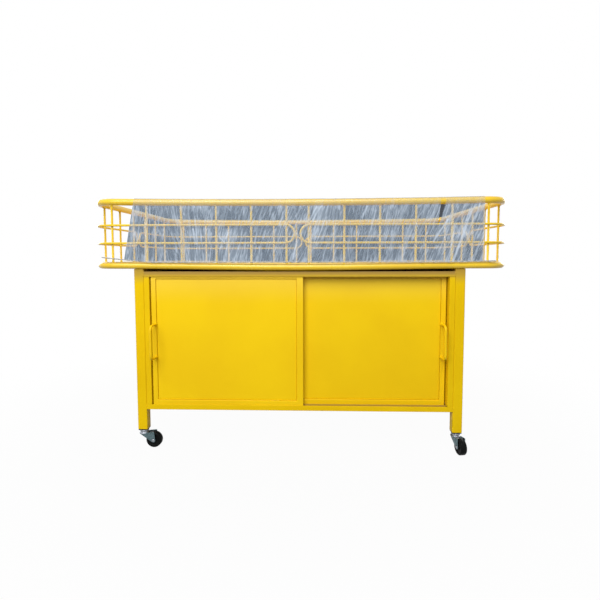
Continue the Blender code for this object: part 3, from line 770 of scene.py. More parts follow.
@built_once
def moulded_material(name, tone, finishes, roughness):
    """Moulded rubber or plastic: dusty patches and a fine matt grain."""
    material, tree, shader = new_material(name)
    wear = worn_surface(tree, patch_scale=60.0, peel_scale=1400.0, spot_scale=300.0, spot_cover=0.12)
    dust = opaque(finishes.dust)
    dusty = mixed(tree, maths(tree, "MULTIPLY", wear["Patches"], 0.2), opaque(tone), dust)
    set_shader(
        tree, shader,
        Base_Color=mixed(tree, maths(tree, "MULTIPLY", wear["Spots"], 0.5), dusty, dust),
        Roughness=ranged(tree, wear["Patches"], 0.0, 1.0, roughness, roughness + 0.15),
        Normal=bumped(tree, wear["Peel"], 0.00006),
        Specular_IOR_Level=0.06,
    )
    return material


def film_material(film):
    """Clear film: thin between its streaks, whiter along them and less hazy where it clings to a wire."""
    material, tree, shader = new_material("stretch_film_clear")
    haze = stored_value(tree, "haze")
    cling = stored_value(tree, "cling")
    drape = drape_coordinates(tree)
    streaks = lined_surface(tree, drape, (95.0, 13.0, 1.0), 0.07)
    lines = lined_surface(tree, drape, (260.0, 26.0, 1.0), 0.09)
    drawn = maths(tree, "MULTIPLY", maths(tree, "ADD", streaks, maths(tree, "MULTIPLY", lines, 0.5)), 0.33)
    slack = maths(tree, "SUBTRACT", 1.0, maths(tree, "MULTIPLY", cling, 0.7), clamp=True)
    white = maths(tree, "ADD", haze, maths(tree, "MULTIPLY", drawn, slack), clamp=True)
    thin = maths(tree, "SUBTRACT", 1.0, maths(tree, "MULTIPLY", cling, 0.42))
    cover = maths(tree, "MULTIPLY", ranged(tree, white, 0.0, 1.0, 0.42, 0.90), thin, clamp=True)
    set_shader(
        tree, shader,
        Base_Color=mixed(tree, white, opaque(film.haze), opaque(film.streak)),
        Alpha=cover,
        Roughness=ranged(tree, lines, 0.0, 1.0, 0.2, 0.34),
        Normal=bumped(tree, lines, 0.0004),
        IOR=1.5,
    )
    return material


def hem_material(film):
    """Film rolled to a cord: creases and ridges along it, and clear enough to let some of the rim through."""
    material, tree, shader = new_material("stretch_film_rolled")
    creases = lined_surface(tree, drape_coordinates(tree), (900.0, 160.0, 1.0), 0.14)
    set_shader(
        tree, shader,
        Base_Color=mixed(tree, creases, opaque(film.hem_shade), opaque(film.hem_light)),
        Alpha=0.85,
        Roughness=0.3,
        Normal=bumped(tree, creases, 0.0003),
    )
    return material


# Basket

def hang(x):
    """How far a rim hangs at a place along its length: a parabola from 0 at both ends to 1 at the middle."""
    reach = node_box("upper_rim")[1][0]
    return 1 - np.clip(np.abs(x) / reach, 0, 1) ** 2


def upper_level(basket, x):
    """Height of the upper rim's middle line, which hangs like a chain."""
    return UPPER_RIM + basket.upper_rise - basket.upper_sag * hang(x)


def lower_level(basket, x):
    """Height of the lower rim's middle line, which hangs between the legs and is straight over its ends."""
    return LOWER_RIM + basket.lower_rise - basket.lower_sag * hang(x) ** 3


def rim_half_size(basket):
    return node_box("upper_rim")[1][:2] - (0.0, MIDDLE_Y) - basket.rim_tube / 2


def rim_shape(basket, level):
    """A round tube along a rounded rectangle, which hangs a little along its front and back."""
    outline = rounded_rectangle(rim_half_size(basket), basket.rim_corner, RIM_CORNER_STEPS, RIM_RUN_STEPS,
                                (0.0, MIDDLE_Y))
    path = np.column_stack((outline, level(basket, outline[:, 0])))
    return swept(path, circle(basket.rim_tube / 2, TUBE_SIDES), closed=True)


class DISPLAYBIN_OT_rims(Operator):
    """Make the two bent rim tubes of the basket"""

    bl_idname = "display_bin.rims"
    bl_label = "Rims"

    def execute(self, context):
        basket = settings(context, "basket")
        finish = enamel_material("rim_enamel", settings(context, "finishes"))
        for name, level, top_shade in (("upper_rim", upper_level, 0.25), ("lower_rim", lower_level, 0.6)):
            tube = rim_shape(basket, level)
            piece = make_piece(name + "_tube", name, [tube], finish)
            # The tops of both rims are darkened with painted shade, most on the lower rim under the film's
            # hem
            facing_up = (tube[0][:, 2] - level(basket, tube[0][:, 0])) / (basket.rim_tube / 2)
            set_attribute(piece.data, "grime", top_shade * smooth_step(0.42, 0.74, facing_up))
        return {"FINISHED"}


def round_inset(from_corner, radius):
    """How far a rounded corner draws a wall in, at a distance from the corner along the wall."""
    run = np.maximum(radius - from_corner, 0.0)
    return radius - np.sqrt(radius ** 2 - run ** 2)


def upright_spots(basket):
    """Where one corner's uprights stand: along its half of the front, then along its half of the side."""
    half_x, half_y = rim_half_size(basket)
    x = np.arange(basket.front_gap / 2, half_x - basket.corner_margin, basket.front_pitch)
    y = np.arange(basket.side_pitch / 2, half_y - basket.corner_margin, basket.side_pitch)
    front = np.stack((x, half_y - round_inset(half_x - x, basket.wire_corner)), axis=1)
    side = np.stack((half_x - round_inset(half_y - y, basket.wire_corner), y), axis=1)
    return front, side


def loop_shape(basket, sides):
    """An endless wire round one corner: two level runs, joined by a half circle at the middle of each wall.

    The wire's section is carried along with the wall's own outward direction.
    """
    outside = basket.wire - basket.weld_sink
    half_x, half_y = rim_half_size(basket) + outside
    radius = basket.wire_corner + outside
    end_radius = basket.loop_spacing / 2
    straight = basket.loop_gap / 2 + end_radius
    bend = arc((half_x - radius, half_y - radius), radius, 90, 0, LOOP_BEND_STEPS)
    bend_out = arc((0, 0), 1, 90, 0, LOOP_BEND_STEPS)
    end = arc((straight, MIDDLE_Z), end_radius, 90, 270, LOOP_END_STEPS)
    flat = np.zeros(len(end))
    path = np.concatenate((
        levelled(bend, MIDDLE_Z + end_radius),
        np.column_stack((flat + half_x, end)),
        levelled(bend[::-1], MIDDLE_Z - end_radius),
        np.column_stack((end[::-1, 0], flat + half_y, end[::-1, 1])),
    ))
    outward = np.concatenate((
        levelled(bend_out, 0),
        np.column_stack((flat + 1, flat, flat)),
        levelled(bend_out[::-1], 0),
        np.column_stack((flat, flat + 1, flat)),
    ))
    mirror = np.array((*sides, 1.0))
    wire = circle(basket.wire / 2, WIRE_SIDES)
    return swept(path * mirror + (0.0, MIDDLE_Y, 0.0), wire, outward * mirror, closed=True)


def upright_shape(basket, x, y):
    """A straight wire between the rims that swells where it is welded to them."""
    bottom = lower_level(basket, x) + basket.rim_tube / 2
    top = upper_level(basket, x) - basket.rim_tube / 2
    swell = basket.wire / 2
    flare = basket.weld_flare
    inward = np.array((-basket.weld_sink, 0.0, swell / 2, swell))
    sizes = np.array((flare, flare, (1 + flare) / 2 - 0.1, 1.0))
    height = np.concatenate((bottom + inward, (top - inward)[::-1]))
    path = np.column_stack((np.full(len(height), x), np.full(len(height), y + MIDDLE_Y), height))
    size = np.concatenate((sizes, sizes[::-1]))
    return swept(path, circle(basket.wire / 2, WIRE_SIDES), (0.0, 1.0, 0.0), size=size)


def weld_shapes(basket, spots, outward):
    """A lump of weld where each upright crosses the two runs of the loop."""
    offset = (basket.wire - basket.weld_sink) / 2
    lump = 0.62 * basket.wire
    middles = spots + offset * np.asarray(outward) + (0.0, MIDDLE_Y)
    levels = [MIDDLE_Z + step * basket.loop_spacing / 2 for step in (-1, 1)]
    return [blob((*middle, level), lump) for middle in middles for level in levels]


class DISPLAYBIN_OT_wires(Operator):
    """Make the four welded wire panels, one round each corner of the basket"""

    bl_idname = "display_bin.wires"
    bl_label = "Wire panels"

    def execute(self, context):
        basket = settings(context, "basket")
        finish = enamel_material("wire_enamel", settings(context, "finishes"))
        front, side = upright_spots(basket)
        for name, sides in CORNERS.items():
            shapes = [loop_shape(basket, sides)]
            for spots, outward in ((front * sides, (0, sides[1])), (side * sides, (sides[0], 0))):
                shapes += [upright_shape(basket, x, y) for x, y in spots]
                shapes += weld_shapes(basket, spots, outward)
            make_piece(name + "_wire_panel", name + "_wires", shapes, finish)
        return {"FINISHED"}


def floor_sheet_shape(basket, ripple):
    """A sheet inside the lower rim: its outline drawn towards its middle in rings, waved a little."""
    low, high = node_box("basket_floor")
    middle = (low + high) / 2
    half = (high - low) / 2
    corner = basket.rim_corner - basket.rim_tube / 2
    outline = rounded_rectangle(half[:2], corner, FLOOR_CORNER_STEPS, FLOOR_RUN_STEPS)
    share = np.linspace(0.02, 1.0, FLOOR_RINGS)[:, None, None]
    rings = share * outline[None]
    wave = ripple * soft_noise(9 * rings[..., 0], 9 * rings[..., 1], 11) * (1 - share[..., 0] ** 6)
    top = np.concatenate((rings, (half[2] + wave)[..., None]), axis=-1)
    under = np.concatenate((rings, (wave - half[2])[..., None]), axis=-1)[::-1]
    return moved(skinned(np.concatenate((top, under))), middle)


def block_shape(node, edge):
    """A rounded block that fills a solid's box."""
    low, high = node_box(node)
    outline = rounded_rectangle((high - low)[:2] / 2, edge, EDGE_STEPS, centre=((high + low) / 2)[:2])
    return plate(outline, low[2], high[2], edge)


class DISPLAYBIN_OT_basket_floor(Operator):
    """Make the basket's floor sheet and the bars under it"""

    bl_idname = "display_bin.basket_floor"
    bl_label = "Basket floor"

    def execute(self, context):
        cabinet = settings(context, "cabinet")
        finish = enamel_material("sheet_enamel", settings(context, "finishes"))
        sheet = floor_sheet_shape(settings(context, "basket"), cabinet.ripple)
        make_piece("basket_floor_sheet", "basket_floor", [sheet], finish)
        for side in ("left", "middle", "right"):
            node = side + "_bearer"
            bar = block_shape(node, cabinet.fold_round)
            make_piece(node + "_bar", node, [bar], finish, flat=True)
        return {"FINISHED"}


# Film

# Folds of the film, each from its upper to its lower end in x and z, with a width and a strength. Tight
# folds are whiter than the film round them, and slack ones, with a strength below 0, are clearer.
FILM_FOLDS = (
    (0.416, 0.664, 0.378, 0.605, 0.0022, 0.75),
    (0.464, 0.638, 0.432, 0.549, 0.0032, 0.80),
    (0.480, 0.690, 0.462, 0.640, 0.0060, 0.40),
    (0.436, 0.650, 0.420, 0.549, 0.0020, 0.45),
    (0.314, 0.650, 0.285, 0.549, 0.0050, 0.35),
    (0.330, 0.655, 0.318, 0.610, 0.0020, 0.45),
    (0.193, 0.702, 0.180, 0.671, 0.0018, 0.60),
    (0.064, 0.702, 0.043, 0.664, 0.0018, 0.50),
    (0.054, 0.702, 0.034, 0.664, 0.0018, 0.45),
    (0.040, 0.702, 0.020, 0.664, 0.0018, 0.40),
    (-0.002, 0.610, -0.012, 0.556, 0.0018, 0.60),
    (-0.046, 0.706, -0.058, 0.668, 0.0020, 0.50),
    (-0.186, 0.704, -0.193, 0.672, 0.0022, 0.45),
    (-0.200, 0.704, -0.186, 0.690, 0.0020, 0.40),
    (-0.195, 0.630, -0.208, 0.604, 0.0022, 0.45),
    (-0.222, 0.620, -0.206, 0.603, 0.0022, 0.40),
    (-0.296, 0.640, -0.288, 0.600, 0.0030, 0.45),
    (-0.425, 0.700, -0.436, 0.548, 0.0030, 0.30),
    (-0.404, 0.640, -0.412, 0.548, 0.0030, 0.30),
    (-0.452, 0.706, -0.478, 0.548, 0.0030, 0.25),
    (-0.302, 0.700, -0.297, 0.664, 0.0026, -0.60),
    (-0.214, 0.704, -0.212, 0.668, 0.0060, -0.45),
    (-0.190, 0.688, -0.186, 0.666, 0.0050, -0.30),
    (-0.060, 0.694, -0.056, 0.668, 0.0040, -0.40),
    (-0.097, 0.588, -0.088, 0.554, 0.0060, -0.35),
    (0.117, 0.690, 0.115, 0.668, 0.0030, -0.45),
    (0.138, 0.704, 0.146, 0.684, 0.0070, -0.40),
    (0.112, 0.586, 0.113, 0.552, 0.0035, -0.40),
    (0.161, 0.594, 0.163, 0.562, 0.0035, -0.50),
    (0.240, 0.586, 0.244, 0.566, 0.0060, -0.40),
    (0.318, 0.704, 0.311, 0.668, 0.0035, -0.50),
    (0.352, 0.640, 0.342, 0.604, 0.0030, -0.35),
    (0.506, 0.584, 0.500, 0.560, 0.0080, -0.35),
    (-0.404, 0.588, -0.398, 0.556, 0.0050, -0.35),
    (-0.367, 0.700, -0.367, 0.660, 0.0240, -0.10),
    (-0.185, 0.700, -0.185, 0.665, 0.0260, -0.42),
    (-0.086, 0.700, -0.086, 0.665, 0.0260, -0.20),
    (0.170, 0.700, 0.170, 0.665, 0.0280, -0.38),
    (0.170, 0.600, 0.170, 0.555, 0.0280, -0.38),
    (0.475, 0.600, 0.475, 0.555, 0.0300, -0.26),
    (0.475, 0.700, 0.475, 0.660, 0.0300, -0.18),
    (0.073, 0.700, 0.073, 0.665, 0.0280, 0.12),
    (-0.385, 0.600, -0.385, 0.555, 0.0300, -0.10),
)


# Width and length of the film's fine, medium and broad wrinkles, the seed of each, its share of the wrinkles'
# height and how much its crests add to the haze
FILM_WRINKLES = (
    (0.0042, 0.09, 21, 0.25, 0.12),
    (0.0105, 0.13, 22, 0.45, 0.10),
    (0.034, 0.20, 23, 0.70, 0.07),
)

# The film's haze without wrinkles: its level, and what its patches, the ridges across its streaks, its tight
# places and its two ends add
HAZE_LEVEL = 0.205
PATCH_HAZE = 0.13
RIDGE_HAZE = 0.20
TIGHT_HAZE = -0.13
RIGHT_END_HAZE = 0.12
LEFT_END_HAZE = -0.08

# How thin the film is drawn on a wire, over the rim's top, down the rim's front and in the slit
WIRE_CLING = 0.4
TOP_CLING = 1.75
RIM_CLING = 0.9
SLIT_CLING = 2.25

# Drops below the upper rim's middle line between which the film gets tight, and between which it clings
TIGHT_DROP = (0.0125, 0.0085)
CLING_DROP = (0.0115, 0.0085)


def film_grid(film, basket):
    """Place along the front, level, and how far each point of the film faces up and forward, row by row.

    Rows go round the front of the upper rim, then straight down to the hem. Columns are evenly spaced from
    the left edge, which slants, to the right edge.
    """
    reach = basket.rim_tube / 2 + film.clearance
    share = np.linspace(0, 1, FILM_COLUMNS)
    top = film.left_top + share * (film.right - film.left_top)
    foot = film.left_bottom + share * (film.right - film.left_bottom)
    rim = upper_level(basket, top)
    hem = film_hem_level(film, basket, foot)
    ragged = 14 * soft_noise(top / 0.03, 0 * top, 3)
    turn = np.radians(np.linspace(0, 1, FILM_TURN_ROWS)[:, None] * (90 - ragged) + 90 + ragged)
    drop = np.linspace(0, 1, FILM_DROP_ROWS)[1:, None]
    x = np.concatenate((top + 0 * turn, top + drop * (foot - top)))
    level = np.concatenate((rim + reach * np.sin(turn), rim + drop * (hem - rim)))
    upward = np.concatenate((np.sin(turn), 0 * drop * rim))
    forward = np.concatenate((-np.cos(turn), 1 + 0 * drop * rim))
    return x, level, upward, forward


def film_slit(film, x, drop):
    """How far a point lies inside the clear slit: a wedge from the upper rim down to its foot."""
    blur = 0.0012
    share = np.clip(drop / film.slit_drop, 0, 1) ** 1.2
    left = film.slit_left + share * (film.slit_foot - film.slit_left)
    right = film.slit_right + share * (film.slit_foot - film.slit_right)
    return smooth_step(0, blur, x - left) * smooth_step(0, blur, right - x)


def film_lean(x):
    """How far the film's streaks lean to the right per metre of height, by their place along the front."""
    places = (-0.46, -0.40, -0.34, -0.29, -0.24, -0.10, 0.00, 0.06, 0.13, 0.20, 0.30, 0.50)
    degrees = (6, 4, -12, -4, 10, 15, 21, 20, 8, 13, 18, 21)
    return np.interp(x, places, np.tan(np.radians(degrees)))


def ridged(x, y, seed):
    """Thin ridges where soft noise passes through 0."""
    return (1 - np.abs(soft_noise(x, y, seed))) ** 6


def fold_shade(x, level):
    """The folds' strengths added up, each fading with the distance from its line and past its ends."""
    shade = np.zeros_like(x)
    for top_x, top_z, low_x, low_z, width, strength in FILM_FOLDS:
        length_square = (top_x - low_x) ** 2 + (top_z - low_z) ** 2
        share = ((x - low_x) * (top_x - low_x) + (level - low_z) * (top_z - low_z)) / length_square
        share = np.clip(share, 0, 1)
        away = np.hypot(x - low_x - share * (top_x - low_x), level - low_z - share * (top_z - low_z))
        shade += strength * np.exp(-(away / width) ** 2)
    return shade


def wire_distance(basket, x, level):
    """Distance along the film from each of its points to the nearest upright or loop of the front wires."""
    pitch = basket.front_pitch
    upright = np.abs((np.abs(x) - basket.front_gap / 2 + pitch / 2) % pitch - pitch / 2)
    half = basket.loop_spacing / 2
    beyond = np.minimum(np.abs(x) - basket.loop_gap / 2 - half, 0)
    return np.minimum(upright, np.abs(np.hypot(beyond, level - MIDDLE_Z) - half))


def film_haze(x, level, near, drop):
    """How white the film is without its wrinkles, from noise, the listed folds and where it is drawn tight.

    Ridges lean against the streaks and show in the clear patches. The film is tight beside a wire and where
    it leaves the rim. It is hazier at its right end and clearer at its left end.
    """
    height = level - MIDDLE_Z
    beside_wire = np.exp(-((near - 0.0065) / 0.0035) ** 2)
    tight = beside_wire + smooth_step(*TIGHT_DROP, drop)
    patches = soft_noise(x / 0.045 + 7, height / 0.06 + 3, 24)
    ridges = ridged((x + 0.2 * height) / 0.006, height / 0.05, 25) * smooth_step(-0.1, 0.5, -patches)
    noisy = HAZE_LEVEL + PATCH_HAZE * patches + RIDGE_HAZE * ridges
    ends = RIGHT_END_HAZE * smooth_step(0.40, 0.46, x) + LEFT_END_HAZE * smooth_step(-0.36, -0.42, x)
    return noisy + fold_shade(x, level) + TIGHT_HAZE * tight + ends


def film_cling(basket, x, upward, near, drop, slit):
    """How thin the film is drawn: some on a wire, more on the rim and nearly to nothing in the slit."""
    bare = 0.75 + 0.25 * soft_noise(x / 0.05, 0 * x, 31)
    on_wire = WIRE_CLING * np.exp(-(near / (0.6 * basket.wire)) ** 2)
    on_top = TOP_CLING * bare * np.clip(1.3 * upward, 0, 1)
    on_rim = RIM_CLING * smooth_step(*CLING_DROP, drop)
    return np.maximum.reduce((on_wire, on_top, on_rim, SLIT_CLING * slit))


def film_shape(film, basket):
    """The film's points with their haze, cling and lean coordinates.

    Wrinkles push points off the rim and the front plane, and their crests add to the haze. They are noise on
    coordinates that lean with the film, drawn out along the lean.
    """
    x, level, upward, forward = film_grid(film, basket)
    height = level - MIDDLE_Z
    drop = upper_level(basket, x) - level
    across = x - film_lean(x) * height
    near = wire_distance(basket, x, level)
    haze = film_haze(x, level, near, drop)
    wrinkle = np.zeros_like(x)
    for width, run, seed, push, crest in FILM_WRINKLES:
        waves = soft_noise(across / width, height / run, seed)
        wrinkle += film.wrinkle * push * waves
        haze += crest * waves
    out = basket.rim_tube / 2 + film.clearance + wrinkle * (1 - 0.7 * upward)
    front = MIDDLE_Y - rim_half_size(basket)[1]
    points = np.stack((x, front - forward * out, level + 0.3 * upward * wrinkle), axis=-1)
    slit = film_slit(film, x, drop) * (1 - 0.8 * upward)
    cling = film_cling(basket, x, upward, near, drop, slit)
    return points, (1 - slit) * np.clip(haze, 0, 1), cling, (across, height)


def film_hem_level(film, basket, x):
    """Height of the film's lower edge: straight along the front and rising at both ends."""
    left = (-x - film.hem_level_end) / (-film.hem_left - film.hem_level_end)
    right = (x - film.hem_level_end) / (film.hem_right - film.hem_level_end)
    rise = film.hem_rise_left * np.clip(left, 0, 1) + film.hem_rise_right * np.clip(right, 0, 1)
    return LOWER_RIM + basket.rim_tube / 2 + film.hem_lift + rise


def film_hem_shape(film, basket):
    """The bunched lower edge: a lumpy three-lobed section, twisted as it is carried along the hem's path."""
    half_x, half_y = rim_half_size(basket)
    roll = film.hem_roll / 2
    outside = basket.rim_tube / 2 + film.clearance + roll
    x = np.linspace(film.hem_left, film.hem_right, HEM_STEPS)
    inset = round_inset(half_x + outside - np.abs(x), basket.wire_corner + outside)
    y = MIDDLE_Y - half_y - outside + inset
    z = film_hem_level(film, basket, x)
    lumps = 1 + 0.22 * soft_noise(x / 0.012, 0 * x, 41) + 0.12 * soft_noise(x / 0.004, 0 * x, 42)
    ends = np.clip(np.minimum(x - film.hem_left, film.hem_right - x) / 0.005, 0.4, 1)
    angle = np.linspace(0, 2 * np.pi, HEM_SIDES, endpoint=False)
    lobed = roll * 0.85 * (1 + 0.22 * np.cos(3 * angle) + 0.08 * np.cos(5 * angle + 1))
    section = lobed[:, None] * circle(1.0, HEM_SIDES)
    return swept(np.stack((x, y, z), axis=1), section, size=lumps * ends, spin=x / 0.009)


class DISPLAYBIN_OT_film(Operator):
    """Wrap the clear film over the basket's front, with its bunched lower edge"""

    bl_idname = "display_bin.film"
    bl_label = "Stretch film"

    def execute(self, context):
        film = settings(context, "film")
        basket = settings(context, "basket")
        points, haze, cling, drape = film_shape(film, basket)
        sheet = (points.reshape(-1, 3), [grid_faces(*points.shape[:2])])
        wrap = make_piece("film_wrap", "stretch_film", [sheet], film_material(film), closed=False)
        set_attribute(wrap.data, "haze", haze)
        set_attribute(wrap.data, "cling", cling)
        set_drape(wrap.data, drape)
        roll = film_hem_shape(film, basket)
        hem = make_piece("film_hem", "stretch_film", [roll], hem_material(film))
        x, _, z = roll[0].T
        set_drape(hem.data, (z, x))
        wrap.visible_shadow = False
        return {"FINISHED"}


# Cabinet

def tube_shape(node, axis, corner, wall, edge, lift=0.0):
    """A rectangular tube that fills a solid's box, with its bore along an axis and its far end moved on."""
    low, high, back = box_along(node, axis)
    high[2] += lift
    half = (high - low)[:2] / 2
    middle = ((high + low) / 2)[:2]
    outer = rounded_rectangle(half, corner, EDGE_STEPS, centre=middle)
    bore = rounded_rectangle(half - wall, max(corner - wall, wall / 3), EDGE_STEPS, centre=middle)
    return with_axes(hollow_tube(outer, bore, low[2], high[2], edge), back)


def bead_shape(start, end, radius, seed):
    """A weld bead: a round section along a line, thicker and thinner by soft noise and thin at its ends."""
    share = np.linspace(0, 1, BEAD_STEPS)
    path = np.asarray(start) + share[:, None] * (np.asarray(end) - np.asarray(start))
    lumps = 1 + 0.3 * soft_noise(share * 7, 0 * share, seed)
    ends = np.sqrt(np.clip(np.minimum(share, 1 - share) / 0.08, 0.1, 1))
    return swept(path, circle(radius, BEAD_SIDES), (0.0, 1.0, 0.0), size=lumps * ends)


def seam_shapes(corner, radius):
    """The weld beads down the seams between a front leg and the ends of both door tracks."""
    side, front = CORNERS[corner]
    if front > 0:
        return []
    shapes = []
    for seed, track in enumerate(("upper_track", "lower_track")):
        low, high = node_box(track)
        x = high[0] if side > 0 else low[0]
        y = low[1] + 0.6 * radius
        shapes.append(bead_shape((x, y, low[2]), (x, y, high[2]), radius, 71 + seed))
    return shapes


class DISPLAYBIN_OT_legs(Operator):
    """Make the four square legs and the tube rails between them"""

    bl_idname = "display_bin.legs"
    bl_label = "Legs and rails"

    def execute(self, context):
        cabinet = settings(context, "cabinet")
        finish = enamel_material("frame_enamel", settings(context, "finishes"))
        basket = settings(context, "basket")
        lift = lower_level(basket, node_middle("front_left_leg")[0]) - LOWER_RIM
        for corner in CORNERS:
            node = corner + "_leg"
            tube = tube_shape(node, 2, cabinet.leg_corner, cabinet.tube_wall, cabinet.edge_round, lift)
            shapes = [tube, *seam_shapes(corner, cabinet.tube_wall)]
            make_piece(node + "_tube", node, shapes, finish, flat=True)
        for level in ("lower", "upper"):
            for side, axis in (("left", 1), ("right", 1), ("back", 0)):
                node = side + "_" + level + "_rail"
                tube = tube_shape(node, axis, cabinet.rail_corner, cabinet.tube_wall, cabinet.edge_round)
                make_piece(node + "_tube", node, [tube], finish, flat=True)
        return {"FINISHED"}


def track_shape(node, wall, opens_up, fold, edge):
    """A channel along X with two grooves between three lips, rounded at its folds."""
    low, high = node_box(node)
    groove = (high[1] - low[1] - 3 * wall) / 2
    web, lip_end = (low[2], high[2]) if opens_up else (high[2], low[2])
    inner = web + math.copysign(wall, lip_end - web)
    outline = [(low[1], web)]
    for lip in range(3):
        start = low[1] + lip * (wall + groove)
        outline += [(start, inner)] if lip else []
        outline += [(start, lip_end), (start + wall, lip_end)]
        outline += [(start + wall, inner)] if lip < 2 else []
    outline.append((high[1], web))
    return with_axes(plate(rounded_outline(outline, fold), low[0], high[0], edge), (2, 0, 1))


def stile_shape(node, side, wall, fold, edge):
    """A channel strip: one wall lies on the cabinet's leg, one faces the front and one closes the end."""
    low, high = node_box(node)
    outer, inner = (high[0], low[0]) if side > 0 else (low[0], high[0])
    far_x = outer - side * wall
    near_x = inner + side * wall
    wall_y = low[1] + wall
    channel = [(outer, low[1]), (outer, high[1]), (far_x, high[1]), (far_x, wall_y), (near_x, wall_y),
               (near_x, high[1]), (inner, high[1]), (inner, low[1])]
    return plate(rounded_outline(channel, fold), low[2], high[2], edge)


class DISPLAYBIN_OT_tracks(Operator):
    """Make the door tracks and the strips at both ends of the door opening"""

    bl_idname = "display_bin.tracks"
    bl_label = "Tracks and stiles"

    def execute(self, context):
        cabinet = settings(context, "cabinet")
        finish = enamel_material("track_enamel", settings(context, "finishes"))
        rounding = (cabinet.fold_round, cabinet.edge_round)
        for name, opens_up in (("upper_track", False), ("lower_track", True)):
            channel = track_shape(name, cabinet.track_wall, opens_up, *rounding)
            piece = make_piece(name + "_channel", name, [channel], finish, flat=True)
            low, high = node_box(name)
            # Grime with painted shade deep in the grooves
            inside = np.minimum(channel[0][:, 1] - low[1], high[1] - channel[0][:, 1])
            set_attribute(piece.data, "grime", 0.75 * smooth_step(0.4, 1.0, inside / cabinet.track_wall))
        for name, side in (("left_stile", -1), ("right_stile", 1)):
            strip = stile_shape(name, side, cabinet.track_wall, *rounding)
            make_piece(name + "_angle", name, [strip], finish, flat=True)
        return {"FINISHED"}


def sheet_steps(span, roll, count):
    """Distances across a sheet: finely along its rolled edges and evenly between them."""
    edge = roll * (1 - np.cos(np.linspace(0, np.pi / 2, 7)))
    middle = np.linspace(roll, span - roll, count)
    return np.concatenate((edge[:-1], middle, span - edge[-2::-1]))


def rippled_sheet(node, axis, ripple, seed, roll=0.0, lap=0.0):
    """A thin sheet that fills a solid's box and waves a little along its thin axis, but not at its edges.

    It runs past the box by the lap all round. Within a rolled edge it falls back along a quarter circle.
    """
    low, high, back = box_along(node, axis)
    low[:2] -= lap
    high[:2] += lap
    span = high - low
    u, v = np.meshgrid(*(sheet_steps(span[side], roll, SHEET_STEPS[side]) for side in range(2)))
    inside_u = np.minimum(u, span[0] - u)
    inside_v = np.minimum(v, span[1] - v)
    still = smooth_step(0, 0.12 * span[0], inside_u) * smooth_step(0, 0.12 * span[1], inside_v)
    wave = 0.7 * soft_noise(u / 0.16, v / 0.16, seed) + 0.3 * soft_noise(u / 0.06, v / 0.07, seed + 1)
    run = np.clip(roll - np.minimum(inside_u, inside_v), 0, roll)
    depth = ripple * still * wave + roll - np.sqrt(roll ** 2 - run ** 2)
    near = np.stack((low[0] + u, low[1] + v, low[2] + depth), axis=-1)
    far = np.stack((low[0] + u, low[1] + v, high[2] + depth), axis=-1)
    return with_axes(slab(near, far), back)


def cabinet_floor_shape(edge, lap):
    """The cabinet's floor sheet, cut out round the back legs and lapped into what stands round it."""
    low, high = node_box("cabinet_floor")
    low[:2] -= lap
    high[:2] += lap
    notch_x, notch_y, _ = node_box("back_right_leg")[0] + lap / 2
    outline = [(low[0], low[1]), (high[0], low[1]), (high[0], notch_y), (notch_x, notch_y),
               (notch_x, high[1]), (-notch_x, high[1]), (-notch_x, notch_y), (low[0], notch_y)]
    return plate(rounded_outline(outline, 2 * edge), low[2], high[2], edge)


class DISPLAYBIN_OT_panels(Operator):
    """Make the cabinet's side, back and floor sheets"""

    bl_idname = "display_bin.panels"
    bl_label = "Sheets"

    def execute(self, context):
        cabinet = settings(context, "cabinet")
        finish = enamel_material("sheet_enamel", settings(context, "finishes"))
        for name, axis, seed in (("left_side", 0, 51), ("right_side", 0, 53), ("back", 1, 55)):
            sheet = rippled_sheet(name + "_panel", axis, cabinet.ripple, seed, lap=cabinet.weld_lap)
            make_piece(name + "_sheet", name + "_panel", [sheet], finish)
        floor = cabinet_floor_shape(cabinet.edge_round / 2, cabinet.weld_lap)
        make_piece("cabinet_floor_sheet", "cabinet_floor", [floor], finish, flat=True)
        return {"FINISHED"}


# Doors

def border_shape(node, side, doors):
    """A rectangular ring with rounded edges: rings of points go over its front, through it and back round.

    Each ring lies between the outer and the inner rectangle, a rounding away from one of them.
    """
    low, high = node_box(node)
    edge = doors.border_round
    left, right = (doors.border, doors.wide_border) if side < 0 else (doors.wide_border, doors.border)
    outer_low, outer_high = low[[0, 2]], high[[0, 2]]
    inner_low = outer_low + (left, doors.wide_border)
    inner_high = outer_high - (right, doors.border)

    def ring(corner_low, corner_high, grow, y):
        half = (corner_high - corner_low) / 2 + grow
        outline = rounded_rectangle(half, edge, EDGE_STEPS, centre=(corner_high + corner_low) / 2)
        return levelled(outline, y)[:, [0, 2, 1]]

    turns = list(zip(*rounded_ends(low[1], high[1], edge)))
    rows = [ring(outer_low, outer_high, -inset, y) for y, inset in turns]
    rows += [ring(inner_low, inner_high, inset, y) for y, inset in reversed(turns)]
    return skinned(np.stack(rows), joined=True)


